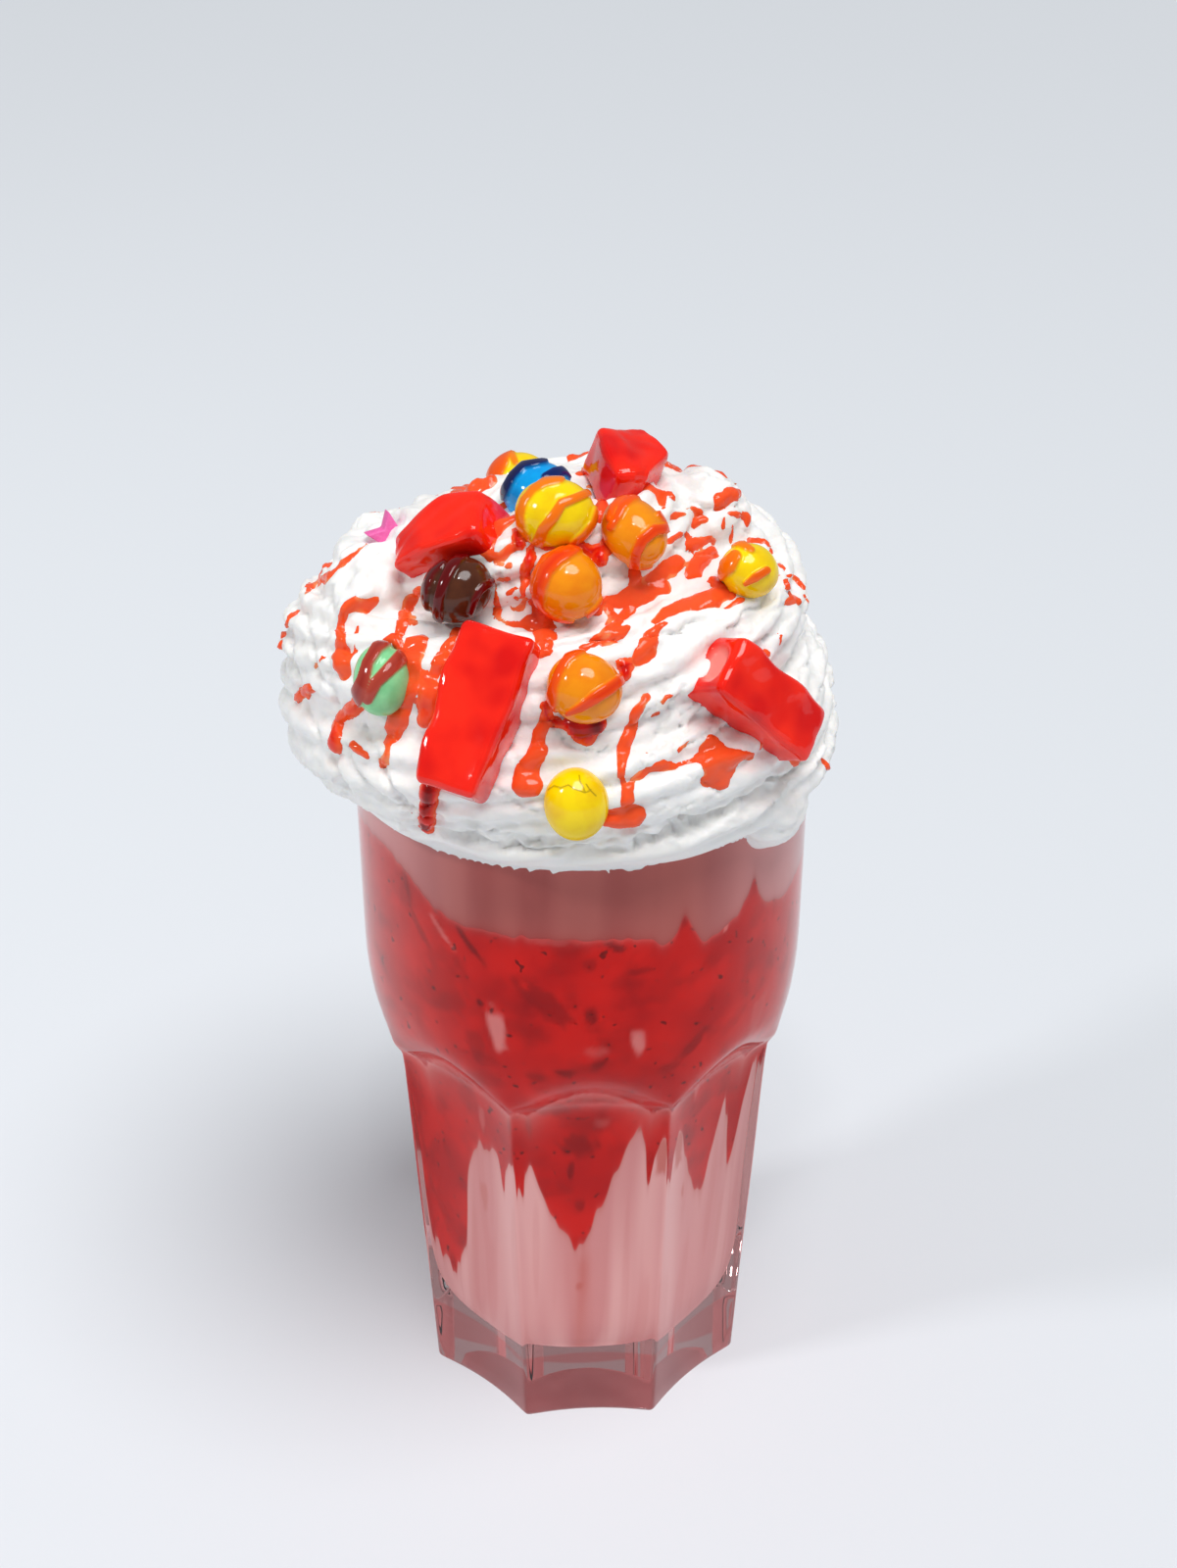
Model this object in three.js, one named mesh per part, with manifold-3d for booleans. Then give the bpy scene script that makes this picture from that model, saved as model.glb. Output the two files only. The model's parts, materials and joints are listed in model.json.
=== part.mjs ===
// A strawberry milkshake in a fluted tumbler, topped with piped whipped cream, candies and jelly pieces.
// Millimetres, +Z up. The origin is the centre of the glass's underside and the front faces -Y.
// Azimuths are degrees from the front (-Y), growing towards +X.
import * as THREE from 'three';
import { mergeVertices } from 'three/addons/utils/BufferGeometryUtils.js';
import Module from 'manifold-3d';

// ---------------------------------------------------------------- driving dimensions

const GAP = 0.3; // clearance between pieces that touch
const WALL_GAP = 0.5; // clearance of the drink's facets from the facets of the glass
const SLIVER = 0.12; // the finest detail kept after a join or a cut

const TURN_SEGMENTS = 40; // facets round the glass and the drink
const FLUTE_COUNT = 8;
const FLUTE_TURN = 2.7; // the front flute looks slightly to the right
const FLUTE_AXIS_DISTANCE = 91.4; // from the glass axis to the axis of each flute's round
const FLUTE_SEGMENTS = 80;

const GLASS_HEIGHT = 144;
const FOOT_RADIUS = 36.5; // before the flutes are cut
const RIM_RADIUS = 44;
const RIM_WALL = 2.5;
const LIP_HEIGHT = 1.6; // how far down the rim its rounding reaches
const LIP_INSET = 0.7;
const FLOOR_HEIGHT = 14; // thickness of the glass foot
const FLOOR_RADIUS = 21;

const DRINK_TOP = 138;
const SAUCE_TOP = 125; // at the front wall
const SAUCE_BOTTOM = 75;

const MOUND_CENTRE = new THREE.Vector3(-3.5, 0, 151);
const MOUND_RADIUS = 52.5;
const HEM_RADIUS = 49.5; // the lowest ring of cream, about the glass axis

const CANDY_FLATNESS = 0.95; // thickness over width
const JELLY_BEVEL = 0.8;
const STAR_THICKNESS = 3;
const STAR_SINK = 1;

// ---------------------------------------------------------------- small helpers

const wasm = await Module();
wasm.setup();

const radians = THREE.MathUtils.degToRad;

/** A closed three.js geometry as a solid that can be joined and cut. */
function toSolid(geometry) {
  const bare = geometry.index ? geometry.toNonIndexed() : geometry.clone();
  bare.deleteAttribute('normal');
  bare.deleteAttribute('uv');
  const merged = mergeVertices(bare, 1e-4);
  const triVerts = new Uint32Array(dropFlat(merged.index.array));
  const vertProperties = new Float32Array(merged.attributes.position.array);
  return new wasm.Manifold(new wasm.Mesh({ numProp: 3, vertProperties, triVerts }));
}

/** The triangles whose three corners differ. */
function dropFlat(index) {
  const kept = [];
  for (let i = 0; i < index.length; i += 3) {
    const [a, b, c] = [index[i], index[i + 1], index[i + 2]];
    if (a !== b && b !== c && c !== a) kept.push(a, b, c);
  }
  return kept;
}

function toGeometry(solid) {
  const { vertProperties, triVerts } = solid.getMesh();
  const geometry = new THREE.BufferGeometry();
  geometry.setAttribute('position', new THREE.BufferAttribute(new Float32Array(vertProperties), 3));
  geometry.setIndex(new THREE.BufferAttribute(new Uint32Array(triVerts), 1));
  geometry.computeVertexNormals();
  return geometry;
}

/** The outer body of a solid, without trapped hollows, loose scraps and slivers. */
function outerBody(solid) {
  const largest = (best, piece) => (piece.volume() > best.volume() ? piece : best);
  return solid.decompose().reduce(largest).simplify(SLIVER).decompose().reduce(largest);
}

const join = (solids) => solids.reduce((sum, solid) => sum.add(solid));

/** A closed lathe about +Z from [radius, height] pairs that run anticlockwise, from foot to top. */
function latheZ(profile, segments) {
  const points = profile.map(([radius, height]) => new THREE.Vector2(radius, height));
  const geometry = new THREE.LatheGeometry(points, segments);
  geometry.rotateX(Math.PI / 2);
  return geometry;
}

/** Moves every vertex of a geometry with a function that edits a Vector3. */
function bend(geometry, move) {
  const position = geometry.attributes.position;
  const point = new THREE.Vector3();
  for (let i = 0; i < position.count; i += 1) {
    move(point.fromBufferAttribute(position, i));
    position.setXYZ(i, point.x, point.y, point.z);
  }
  return geometry;
}

/** Heights of a smooth curve through [radius, height] pairs, sampled in equal steps. */
function smoothProfile(pairs, steps) {
  const curve = new THREE.SplineCurve(pairs.map(([radius, height]) => new THREE.Vector2(radius, height)));
  return curve.getPoints(steps).map((point) => [point.x, point.y]);
}

/** The radius of a profile at a height, between its two nearest points. */
function radiusAt(profile, height) {
  for (let i = 1; i < profile.length; i += 1) {
    const [r0, z0] = profile[i - 1];
    const [r1, z1] = profile[i];
    if (height <= z1) return THREE.MathUtils.mapLinear(Math.max(height, z0), z0, z1, r0, r1);
  }
  return profile[profile.length - 1][0];
}

const azimuthOf = (point) => THREE.MathUtils.radToDeg(Math.atan2(point.x, -point.y));

/** The signed difference of two azimuths, from -180 to 180. */
const turnBetween = (a, b) => THREE.MathUtils.euclideanModulo(a - b + 180, 360) - 180;

/** The direction from the mound's centre at an azimuth and an elevation. */
function direction(azimuth, elevation) {
  const [a, e] = [radians(azimuth), radians(elevation)];
  return new THREE.Vector3(Math.cos(e) * Math.sin(a), -Math.cos(e) * Math.cos(a), Math.sin(e));
}

// ---------------------------------------------------------------- the glass

const outerWall = smoothProfile(
  [[40.2, 60], [41.1, 78], [41.8, 86], [43.3, 95], [43.9, 104],
    [RIM_RADIUS, GLASS_HEIGHT - LIP_HEIGHT]], 7);

const innerWall = [
  [FLOOR_RADIUS, FLOOR_HEIGHT], [24.6, FLOOR_HEIGHT + 1.2], [26.6, FLOOR_HEIGHT + 4.5],
  ...smoothProfile(
    [[27.6, 24], [28.8, 45], [30.4, 64], [32.4, 78], [35.8, 88], [39.4, 98], [41.2, 112],
      [RIM_RADIUS - RIM_WALL, GLASS_HEIGHT - LIP_HEIGHT]], 8),
];

const fluteRound = [
  [60.6, -6], [59.4, 22], [58, 50], [57, 72], [56.4, 82], // up the face
  [50.4, 90.5], [42, 102.6], // the sloping ledge under the arch
];

/** The glass before its flutes are cut, foot and hollow in one lathe. */
function glassBlank() {
  const lip = [[RIM_RADIUS - LIP_INSET, GLASS_HEIGHT], [RIM_RADIUS - RIM_WALL + LIP_INSET, GLASS_HEIGHT]];
  return latheZ(
    [[0, 0], [FOOT_RADIUS, 0], ...outerWall, ...lip, ...innerWall.toReversed(), [0, FLOOR_HEIGHT]],
    TURN_SEGMENTS);
}

/** The round that one flute is ground with, standing beside the glass at its azimuth. */
function fluteCutter(azimuth) {
  const cutter = latheZ([[0, -6], ...fluteRound, [0, 102.6]], FLUTE_SEGMENTS);
  cutter.translate(0, -FLUTE_AXIS_DISTANCE, 0);
  return cutter.rotateZ(radians(azimuth));
}

function glassGeometry() {
  let glass = toSolid(glassBlank());
  for (let i = 0; i < FLUTE_COUNT; i += 1) {
    glass = glass.subtract(toSolid(fluteCutter(FLUTE_TURN + (i * 360) / FLUTE_COUNT)));
  }
  return toGeometry(outerBody(glass));
}

// ---------------------------------------------------------------- the drink and its sauce layer

// Where sauce runs down the wall below its layer: azimuth, half width and reach.
const SAUCE_TONGUES = [
  { azimuth: -60, width: 26, reach: 44 },
  { azimuth: -1, width: 20, reach: 30 },
  { azimuth: 43, width: 16, reach: 24 },
  { azimuth: 72, width: 12, reach: 22 },
  { azimuth: 118, width: 22, reach: 34 },
  { azimuth: 165, width: 18, reach: 20 },
  { azimuth: -138, width: 24, reach: 36 },
];

// Where it climbs the wall above its layer.
const SAUCE_PEAKS = [
  { azimuth: -62, width: 34, reach: 8 },
  { azimuth: 26, width: 8, reach: 3 },
  { azimuth: 49, width: 12, reach: 6 },
  { azimuth: 140, width: 40, reach: 6 },
];

/** The largest of a set of tents at an azimuth. */
function tents(list, azimuth) {
  const height = ({ azimuth: middle, width, reach }) =>
    reach * Math.max(0, 1 - Math.abs(turnBetween(azimuth, middle)) / width);
  return Math.max(...list.map(height));
}

const sauceBottomAt = (azimuth) => SAUCE_BOTTOM - tents(SAUCE_TONGUES, azimuth);
const sauceTopAt = (azimuth) => SAUCE_TOP + tents(SAUCE_PEAKS, azimuth);

/** Everything that fills the glass up to the cream, clear of the wall. */
function contentsSolid() {
  const wall = innerWall.map(([radius, height]) => [radius - WALL_GAP, Math.max(height, FLOOR_HEIGHT + GAP)]);
  const filled = [...wall.filter(([, height]) => height < DRINK_TOP), [radiusAt(wall, DRINK_TOP), DRINK_TOP]];
  return toSolid(latheZ([[0, FLOOR_HEIGHT + GAP], ...filled, [0, DRINK_TOP]], TURN_SEGMENTS));
}

/**
 * All space below a border between two layers. The border has the given height
 * at the wall for each azimuth, and levels out to its mean in the middle.
 */
function spaceBelow(heightAtWall, mean, lift = 0) {
  const [inner, beyond, floor] = [0.78, 1.5, -10];
  const profile = [[0, 0], [beyond, 0], [beyond, 1], [1, 1], [inner, 1], [0, 1]];
  return toSolid(bend(latheZ(profile, TURN_SEGMENTS), (point) => {
    const ring = Math.hypot(point.x, point.y);
    const wallHeight = heightAtWall(azimuthOf(point));
    const border = THREE.MathUtils.lerp(mean, wallHeight, Math.min(ring, 1) ** 4) + lift;
    const scale = radiusAt(innerWall, wallHeight);
    point.set(point.x * scale, point.y * scale, point.z > 0.5 ? border : floor);
  }));
}

/** The drink's three layers, from the bottom up. */
function drinkLayers() {
  const contents = contentsSolid();
  const sauceOrBelow = contents.intersect(spaceBelow(sauceTopAt, SAUCE_TOP));
  return {
    lowerMilk: contents.intersect(spaceBelow(sauceBottomAt, SAUCE_BOTTOM)),
    sauce: sauceOrBelow.subtract(spaceBelow(sauceBottomAt, SAUCE_BOTTOM, GAP)),
    upperMilk: contents.subtract(spaceBelow(sauceTopAt, SAUCE_TOP, GAP)),
  };
}

// ---------------------------------------------------------------- the whipped cream

// Where the mound is fuller or flatter than round: direction, spread in degrees and extra reach.
const BULGES = [
  { azimuth: -80, elevation: 24, spread: [45, 26], extra: 3.8 },
  { azimuth: 78, elevation: 46, spread: [45, 20], extra: 2.4 },
  { azimuth: 5, elevation: 0, spread: [45, 22], extra: 0.8 },
  { azimuth: -120, elevation: 82, spread: [400, 18], extra: -5.4 },
  { azimuth: -135, elevation: 54, spread: [60, 17], extra: -6 },
];

/** How far the mound reaches from its centre. Low down it closes in on the rim of the glass. */
function moundReach(azimuth, elevation) {
  const bulge = ({ azimuth: a, elevation: e, spread, extra }) =>
    extra * Math.exp(-((turnBetween(azimuth, a) / spread[0]) ** 2) - (((elevation - e) / spread[1]) ** 2));
  const dome = BULGES.reduce((reach, place) => reach + bulge(place), MOUND_RADIUS);
  const hem = HEM_RADIUS - MOUND_CENTRE.x * Math.sin(radians(azimuth));
  return THREE.MathUtils.lerp(hem, dome, THREE.MathUtils.smoothstep(elevation, -8, 9));
}

/**
 * A rope of cream from a star nozzle, laid over the mound. The route gives the
 * azimuth, elevation and rope radius for each share of its length.
 */
function pipedRope({ route, steps, points, depth, twist }) {
  const sides = points * 2;
  const rope = new THREE.LatheGeometry(
    [new THREE.Vector2(0, 0), ...Array.from({ length: steps + 1 }, (_, i) => new THREE.Vector2(1, i / steps)),
      new THREE.Vector2(0, 1)], sides);
  const centre = (share) => {
    const { azimuth, elevation, radius } = route(share);
    const reach = moundReach(azimuth, elevation) - radius;
    return direction(azimuth, elevation).multiplyScalar(reach).add(MOUND_CENTRE);
  };
  return bend(rope, (point) => {
    const share = point.y;
    const swell = Math.hypot(point.x, point.z);
    const { azimuth, elevation, radius } = route(share);
    const middle = centre(share);
    const ahead = centre(Math.min(share + 0.002, 1)).sub(centre(Math.max(share - 0.002, 0))).normalize();
    const outward = direction(azimuth, elevation).projectOnPlane(ahead).normalize();
    const across = new THREE.Vector3().crossVectors(outward, ahead);
    const around = Math.atan2(point.z, point.x);
    const star = 1 - depth * (0.5 - 0.5 * Math.cos(points * around));
    const turned = around + radians(twist) * share;
    const size = swell * radius * star;
    point.copy(middle)
      .addScaledVector(outward, size * Math.cos(turned))
      .addScaledVector(across, size * Math.sin(turned));
  });
}

/** The long rope that winds up from the rim to the top in ever smaller turns. */
function spiralRope() {
  const start = -205;
  const turns = 3.3;
  const route = (share) => {
    const azimuth = start + 360 * turns * share;
    const climb = THREE.MathUtils.smoothstep(share, 0.16, 1);
    const elevation = 7 + 60 * climb + 5 * share;
    const ends = Math.min(1, share / 0.03, (1 - share) / 0.02);
    const radius = (12.4 - 1.4 * share) * (0.35 + 0.65 * Math.sqrt(Math.max(ends, 0)));
    return { azimuth, elevation, radius };
  };
  return pipedRope({ route, steps: 62, points: 8, depth: 0.19, twist: 900 });
}

/** The first, thinner ring of cream, which laps over the rim of the glass. */
function hemRope() {
  const route = (share) => {
    const azimuth = -170 + 372 * share;
    const ends = Math.min(1, share / 0.04, (1 - share) / 0.04);
    const radius = (8 + 0.7 * Math.sin(radians(3 * azimuth))) * (0.4 + 0.6 * Math.sqrt(Math.max(ends, 0)));
    return { azimuth, elevation: -3.2 - 0.8 * Math.cos(radians(azimuth + 60)), radius };
  };
  return pipedRope({ route, steps: 30, points: 6, depth: 0.18, twist: 420 });
}

/** A short rope that fills out the left shoulder, between two turns of the long one. */
function shoulderRope() {
  const route = (share) => {
    const ends = Math.min(1, share / 0.2, (1 - share) / 0.2);
    const radius = 10 * (0.45 + 0.55 * Math.sqrt(Math.max(ends, 0)));
    return { azimuth: -122 + 66 * share, elevation: 34 + 6 * Math.sin(Math.PI * share), radius };
  };
  return pipedRope({ route, steps: 9, points: 6, depth: 0.18, twist: 90 });
}

/** The plain inside of the mound, down to the drink. */
function moundCore() {
  const [waist, shoulder] = [RIM_RADIUS - RIM_WALL - GAP, 43];
  const profile = [
    [0, DRINK_TOP + GAP], [waist, DRINK_TOP + GAP], [waist, GLASS_HEIGHT + 2],
    [shoulder, 153], [shoulder - 1, 165], [36, 178], [26, 189], [12, 196], [0, 198],
  ];
  return latheZ(profile, 24).translate(MOUND_CENTRE.x * 0.4, 0, 0);
}

/** A small peak or knob of cream: azimuth, elevation, size, and how far it stands out. */
function dollop({ azimuth, elevation, size, rise }) {
  const knob = new THREE.IcosahedronGeometry(size, 1);
  const place = direction(azimuth, elevation).multiplyScalar(moundReach(azimuth, elevation) + rise - size);
  return knob.translate(...place.add(MOUND_CENTRE).toArray());
}

const DOLLOPS = [
  { azimuth: 56, elevation: -10, size: 8.5, rise: 1 },
  { azimuth: 86, elevation: 57, size: 9.5, rise: 2.2 },
  { azimuth: -36, elevation: -2, size: 6, rise: 1.5 },
  { azimuth: 160, elevation: 62, size: 9, rise: 0 },
  { azimuth: -150, elevation: -8, size: 7, rise: 1 },
];

function creamSolid() {
  const lumps = [moundCore(), spiralRope(), hemRope(), shoulderRope(), ...DOLLOPS.map(dollop)];
  return outerBody(join(lumps.map(toSolid)));
}

// ---------------------------------------------------------------- syrup on the cream

/** The cream's outer surface seen from the mound's centre, as a function of direction. */
function surfaceFinder(solid) {
  const mesh = new THREE.Mesh(toGeometry(solid), new THREE.MeshBasicMaterial({ side: THREE.DoubleSide }));
  const caster = new THREE.Raycaster();
  return (azimuth, elevation) => {
    const outward = direction(azimuth, elevation);
    const far = outward.clone().multiplyScalar(120).add(MOUND_CENTRE);
    caster.set(far, outward.clone().negate());
    return { point: caster.intersectObject(mesh)[0].point, outward };
  };
}

/** Where something as wide as a candy rests: on the highest cream near a direction. */
function restingPlace(find, azimuth, elevation) {
  const spread = 4.5;
  const near = [[0, 0], [-spread, 0], [spread, 0], [0, -spread], [0, spread]];
  const reaches = near.map(([across, up]) =>
    find(azimuth + across / Math.cos(radians(elevation)), elevation + up).point.distanceTo(MOUND_CENTRE));
  const outward = direction(azimuth, elevation);
  return { point: outward.clone().multiplyScalar(Math.max(...reaches)).add(MOUND_CENTRE), outward };
}

/** A run of thick syrup that lies over the cream between two directions. */
function syrupRun(find, { from, to, width, steps }) {
  const sides = 5;
  const run = new THREE.LatheGeometry(
    [new THREE.Vector2(0, 0), ...Array.from({ length: steps + 1 }, (_, i) => new THREE.Vector2(1, i / steps)),
      new THREE.Vector2(0, 1)], sides);
  const centre = (share) => {
    const azimuth = THREE.MathUtils.lerp(from[0], to[0], share);
    const elevation = THREE.MathUtils.lerp(from[1], to[1], share);
    return find(azimuth, elevation);
  };
  return bend(run, (point) => {
    const share = point.y;
    const swell = Math.hypot(point.x, point.z);
    const around = Math.atan2(point.z, point.x);
    const { point: middle, outward } = centre(share);
    const ahead = centre(Math.min(share + 0.05, 1)).point.clone()
      .sub(centre(Math.max(share - 0.05, 0)).point).projectOnPlane(outward).normalize();
    const across = new THREE.Vector3().crossVectors(outward, ahead);
    const half = (width / 2) * (0.7 + 0.3 * Math.cos(2 * Math.PI * share));
    point.copy(middle)
      .addScaledVector(outward, swell * 1.1 * Math.cos(around))
      .addScaledVector(across, swell * half * Math.sin(around));
  });
}

const SYRUP_RUNS = [
  { from: [-5, 26], to: [-7, 8], width: 5, steps: 5 },
  { from: [12, 24], to: [9, 4], width: 4.5, steps: 5 },
  { from: [18, 9], to: [32, 11], width: 6, steps: 4 },
  { from: [-52, 40], to: [-54, 24], width: 4.5, steps: 4 },
  { from: [12, 43], to: [38, 42], width: 6, steps: 5 },
  { from: [-33, 50], to: [-40, 30], width: 5, steps: 5 },
];

// ---------------------------------------------------------------- toppings

const COLOURS = {
  yellow: 0xf3c70c, orange: 0xf08412, brown: 0x4a1c14, green: 0x58b47c, blue: 0x1272c4, jelly: 0xdd1c16,
  pink: 0xe84aa0, cream: 0xf7f5f2, milk: 0xd18f90, upperMilk: 0xb4696a, sauce: 0xb21f20, glass: 0xdfe8ea,
};

// Sugar-coated candies: direction on the mound, roll about it, width and length, and sinking.
const CANDIES = [
  { name: 'candy_yellow_top', colour: 'yellow', at: [-2, 63], roll: 80, size: [12, 13.8], sink: 2.6 },
  { name: 'candy_blue', colour: 'blue', at: [-25, 78], roll: 70, size: [11.8, 13.2], sink: 5.2 },
  { name: 'candy_yellow_back', colour: 'yellow', at: [-152, 66], roll: 10, size: [11.6, 13], sink: 8 },
  { name: 'candy_orange_right', colour: 'orange', at: [27, 58], roll: 10, size: [10.6, 13], sink: 3.3 },
  { name: 'candy_orange_middle', colour: 'orange', at: [2, 49.4], roll: 30, size: [11.8, 12.6], sink: 3 },
  { name: 'candy_brown', colour: 'brown', at: [-29, 45.5], roll: -40, size: [10.9, 12.2], sink: 3 },
  { name: 'candy_yellow_right', colour: 'yellow', at: [55, 42.5], roll: 60, size: [9.8, 10.8], sink: 3 },
  { name: 'candy_green', colour: 'green', at: [-38, 25], roll: 20, size: [9.8, 12.4], sink: 3.4 },
  { name: 'candy_orange_front', colour: 'orange', at: [5, 28], roll: 60, size: [11.6, 12.6], sink: 3.3 },
  { name: 'candy_yellow_front', colour: 'yellow', at: [3, 7], roll: 5, size: [10.9, 12.4], sink: 3.6 },
];

function toppingMaterial(colour, roughness) {
  return new THREE.MeshStandardMaterial({ color: COLOURS[colour], roughness, metalness: 0 });
}

/** Turns a piece so that its +Z looks outward and its +Y up the mound, rolled about outward. */
function layOn(mesh, place, outward, roll) {
  const up = new THREE.Vector3(0, 0, 1).projectOnPlane(outward).normalize();
  const side = new THREE.Vector3().crossVectors(up, outward);
  mesh.quaternion.setFromRotationMatrix(new THREE.Matrix4().makeBasis(side, up, outward));
  mesh.rotateZ(radians(roll));
  mesh.position.copy(place);
  mesh.updateMatrixWorld();
  return mesh;
}

function candyMesh(find, { name, colour, at, roll, size: [width, length], sink }) {
  const shape = new THREE.SphereGeometry(0.5, 12, 8);
  const thickness = width * CANDY_FLATNESS;
  shape.scale(width, length, thickness);
  const mesh = new THREE.Mesh(shape, toppingMaterial(colour, 0.25));
  mesh.name = name;
  const { point, outward } = restingPlace(find, ...at);
  const place = point.clone().addScaledVector(outward, thickness / 2 - sink);
  return layOn(mesh, place, outward, roll);
}

// Cut lengths of soft jelly tube: the directions of both ends, thickness, and sinking at each end.
const JELLIES = [
  { name: 'jelly_front', from: [-12.7, 38], to: [-18.6, 9.3], width: 14, depth: 10, sink: [1.5, 0] },
  { name: 'jelly_right', from: [33, 29.5], to: [52, 10], width: 11.5, depth: 10.5, sink: [1.8, 1.8] },
  { name: 'jelly_left', from: [-58, 48], to: [-28, 61], width: 12, depth: 11, sink: [4, 3.5] },
  { name: 'jelly_top', from: [50, 68], to: [96, 80], width: 13.5, depth: 10, sink: [5.6, -0.7] },
];

/** A bar with a lumpy rounded section along +Y, its ends slightly rounded off. */
function jellyShape(length, width, depth) {
  const section = new THREE.Shape();
  const corners = 10;
  for (let i = 0; i < corners; i += 1) {
    const angle = (2 * Math.PI * (i + 0.5)) / corners;
    const lump = 1 + 0.05 * Math.cos(3 * angle);
    const x = (width / 2 - JELLY_BEVEL) * lump * Math.cos(angle);
    const y = (depth / 2 - JELLY_BEVEL) * lump * Math.sin(angle);
    if (i === 0) section.moveTo(x, y);
    else section.lineTo(x, y);
  }
  section.closePath();
  const bar = new THREE.ExtrudeGeometry(section, {
    depth: length - 2 * JELLY_BEVEL, steps: 3,
    bevelThickness: JELLY_BEVEL, bevelSize: JELLY_BEVEL, bevelSegments: 1,
  });
  return bar.translate(0, 0, JELLY_BEVEL - length / 2).rotateX(-Math.PI / 2);
}

function jellyMesh(find, { name, from, to, width, depth, sink }) {
  const ends = [from, to].map((at, i) => {
    const { point, outward } = find(...at);
    return { place: point.clone().addScaledVector(outward, depth / 2 - sink[i]), outward };
  });
  const [start, end] = ends;
  const along = end.place.clone().sub(start.place);
  const mesh = new THREE.Mesh(jellyShape(along.length(), width, depth), toppingMaterial('jelly', 0.2));
  mesh.name = name;
  const ahead = along.clone().normalize();
  const outward = start.outward.clone().add(end.outward).projectOnPlane(ahead).normalize();
  const side = new THREE.Vector3().crossVectors(ahead, outward);
  mesh.quaternion.setFromRotationMatrix(new THREE.Matrix4().makeBasis(side, ahead, outward));
  mesh.position.copy(start.place).lerp(end.place, 0.5);
  mesh.updateMatrixWorld();
  return mesh;
}

/** The small pink candy with pointed arms at the left of the top. */
function starMesh(find) {
  const [arms, long, short] = [5, 5.2, 2.4];
  const outline = new THREE.Shape();
  for (let i = 0; i < arms * 2; i += 1) {
    const reach = i % 2 === 0 ? long : short;
    const angle = (Math.PI * i) / arms + Math.PI / 2;
    const [x, y] = [reach * Math.cos(angle), reach * Math.sin(angle)];
    if (i === 0) outline.moveTo(x, y);
    else outline.lineTo(x, y);
  }
  outline.closePath();
  const shape = new THREE.ExtrudeGeometry(outline, { depth: STAR_THICKNESS, bevelEnabled: false });
  shape.translate(0, 0, -STAR_THICKNESS / 2);
  const mesh = new THREE.Mesh(shape, toppingMaterial('pink', 0.4));
  mesh.name = 'star_pink';
  const { point, outward } = find(-77, 49);
  const upright = new THREE.Vector3(0.35, -0.93, 0.1).normalize();
  return layOn(mesh, point.clone().addScaledVector(outward, -STAR_SINK), upright, 8);
}

// ---------------------------------------------------------------- putting it together

/** A topping as a solid in place, grown by the gap, to cut its seat in the cream. */
function seatCutter(mesh) {
  const grown = mesh.geometry.clone();
  grown.computeBoundingBox();
  const size = grown.boundingBox.getSize(new THREE.Vector3());
  grown.scale(...size.toArray().map((length) => (length + 2 * GAP) / length));
  return toSolid(grown.applyMatrix4(mesh.matrixWorld));
}

/** The rim and the drink grown by the gap, to cut them out of the cream. */
function rimCutter() {
  const [outside, inside] = [RIM_RADIUS + GAP, RIM_RADIUS - RIM_WALL - GAP];
  const [top, start] = [GLASS_HEIGHT + GAP, GLASS_HEIGHT - LIP_HEIGHT];
  const profile = [
    [0, 100], [outside, 100], [outside, start], [outside - LIP_INSET, top], [inside + LIP_INSET, top],
    [inside, start],
    [inside, DRINK_TOP + GAP], [0, DRINK_TOP + GAP],
  ];
  return toSolid(latheZ(profile, TURN_SEGMENTS));
}

function plainMesh(name, geometry, colour, roughness) {
  const mesh = new THREE.Mesh(geometry, toppingMaterial(colour, roughness));
  mesh.name = name;
  return mesh;
}

const milkshake = new THREE.Group();

const bareCream = creamSolid();
const findCream = surfaceFinder(bareCream);
const toppings = [
  ...CANDIES.map((candy) => candyMesh(findCream, candy)),
  ...JELLIES.map((jelly) => jellyMesh(findCream, jelly)),
  starMesh(findCream),
];

const runs = SYRUP_RUNS.map((run) => toSolid(syrupRun(findCream, run)));
let cream = join([bareCream, ...runs]).subtract(rimCutter());
for (const topping of toppings) cream = cream.subtract(seatCutter(topping));

const layers = drinkLayers();
milkshake.add(
  plainMesh('glass', glassGeometry(), 'glass', 0.05),
  plainMesh('milk_lower', toGeometry(outerBody(layers.lowerMilk)), 'milk', 0.3),
  plainMesh('strawberry_sauce', toGeometry(outerBody(layers.sauce)), 'sauce', 0.3),
  plainMesh('milk_upper', toGeometry(outerBody(layers.upperMilk)), 'upperMilk', 0.3),
  plainMesh('whipped_cream', toGeometry(outerBody(cream)), 'cream', 0.5),
  ...toppings,
);

export default milkshake;
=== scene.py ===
"""A strawberry milkshake in a fluted tumbler, dressed for its portrait.

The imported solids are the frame. Every piece here is modelled in metres in that frame, with +Z up,
the front of the glass towards -Y, and azimuths in degrees from the front, growing towards +X.
"""
import json
import logging
import math
from dataclasses import dataclass, field
from enum import Enum
from typing import Callable, ClassVar, Sequence

import bpy
import numpy as np
from mathutils import Matrix, Vector, kdtree
from mathutils.bvhtree import BVHTree

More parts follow.
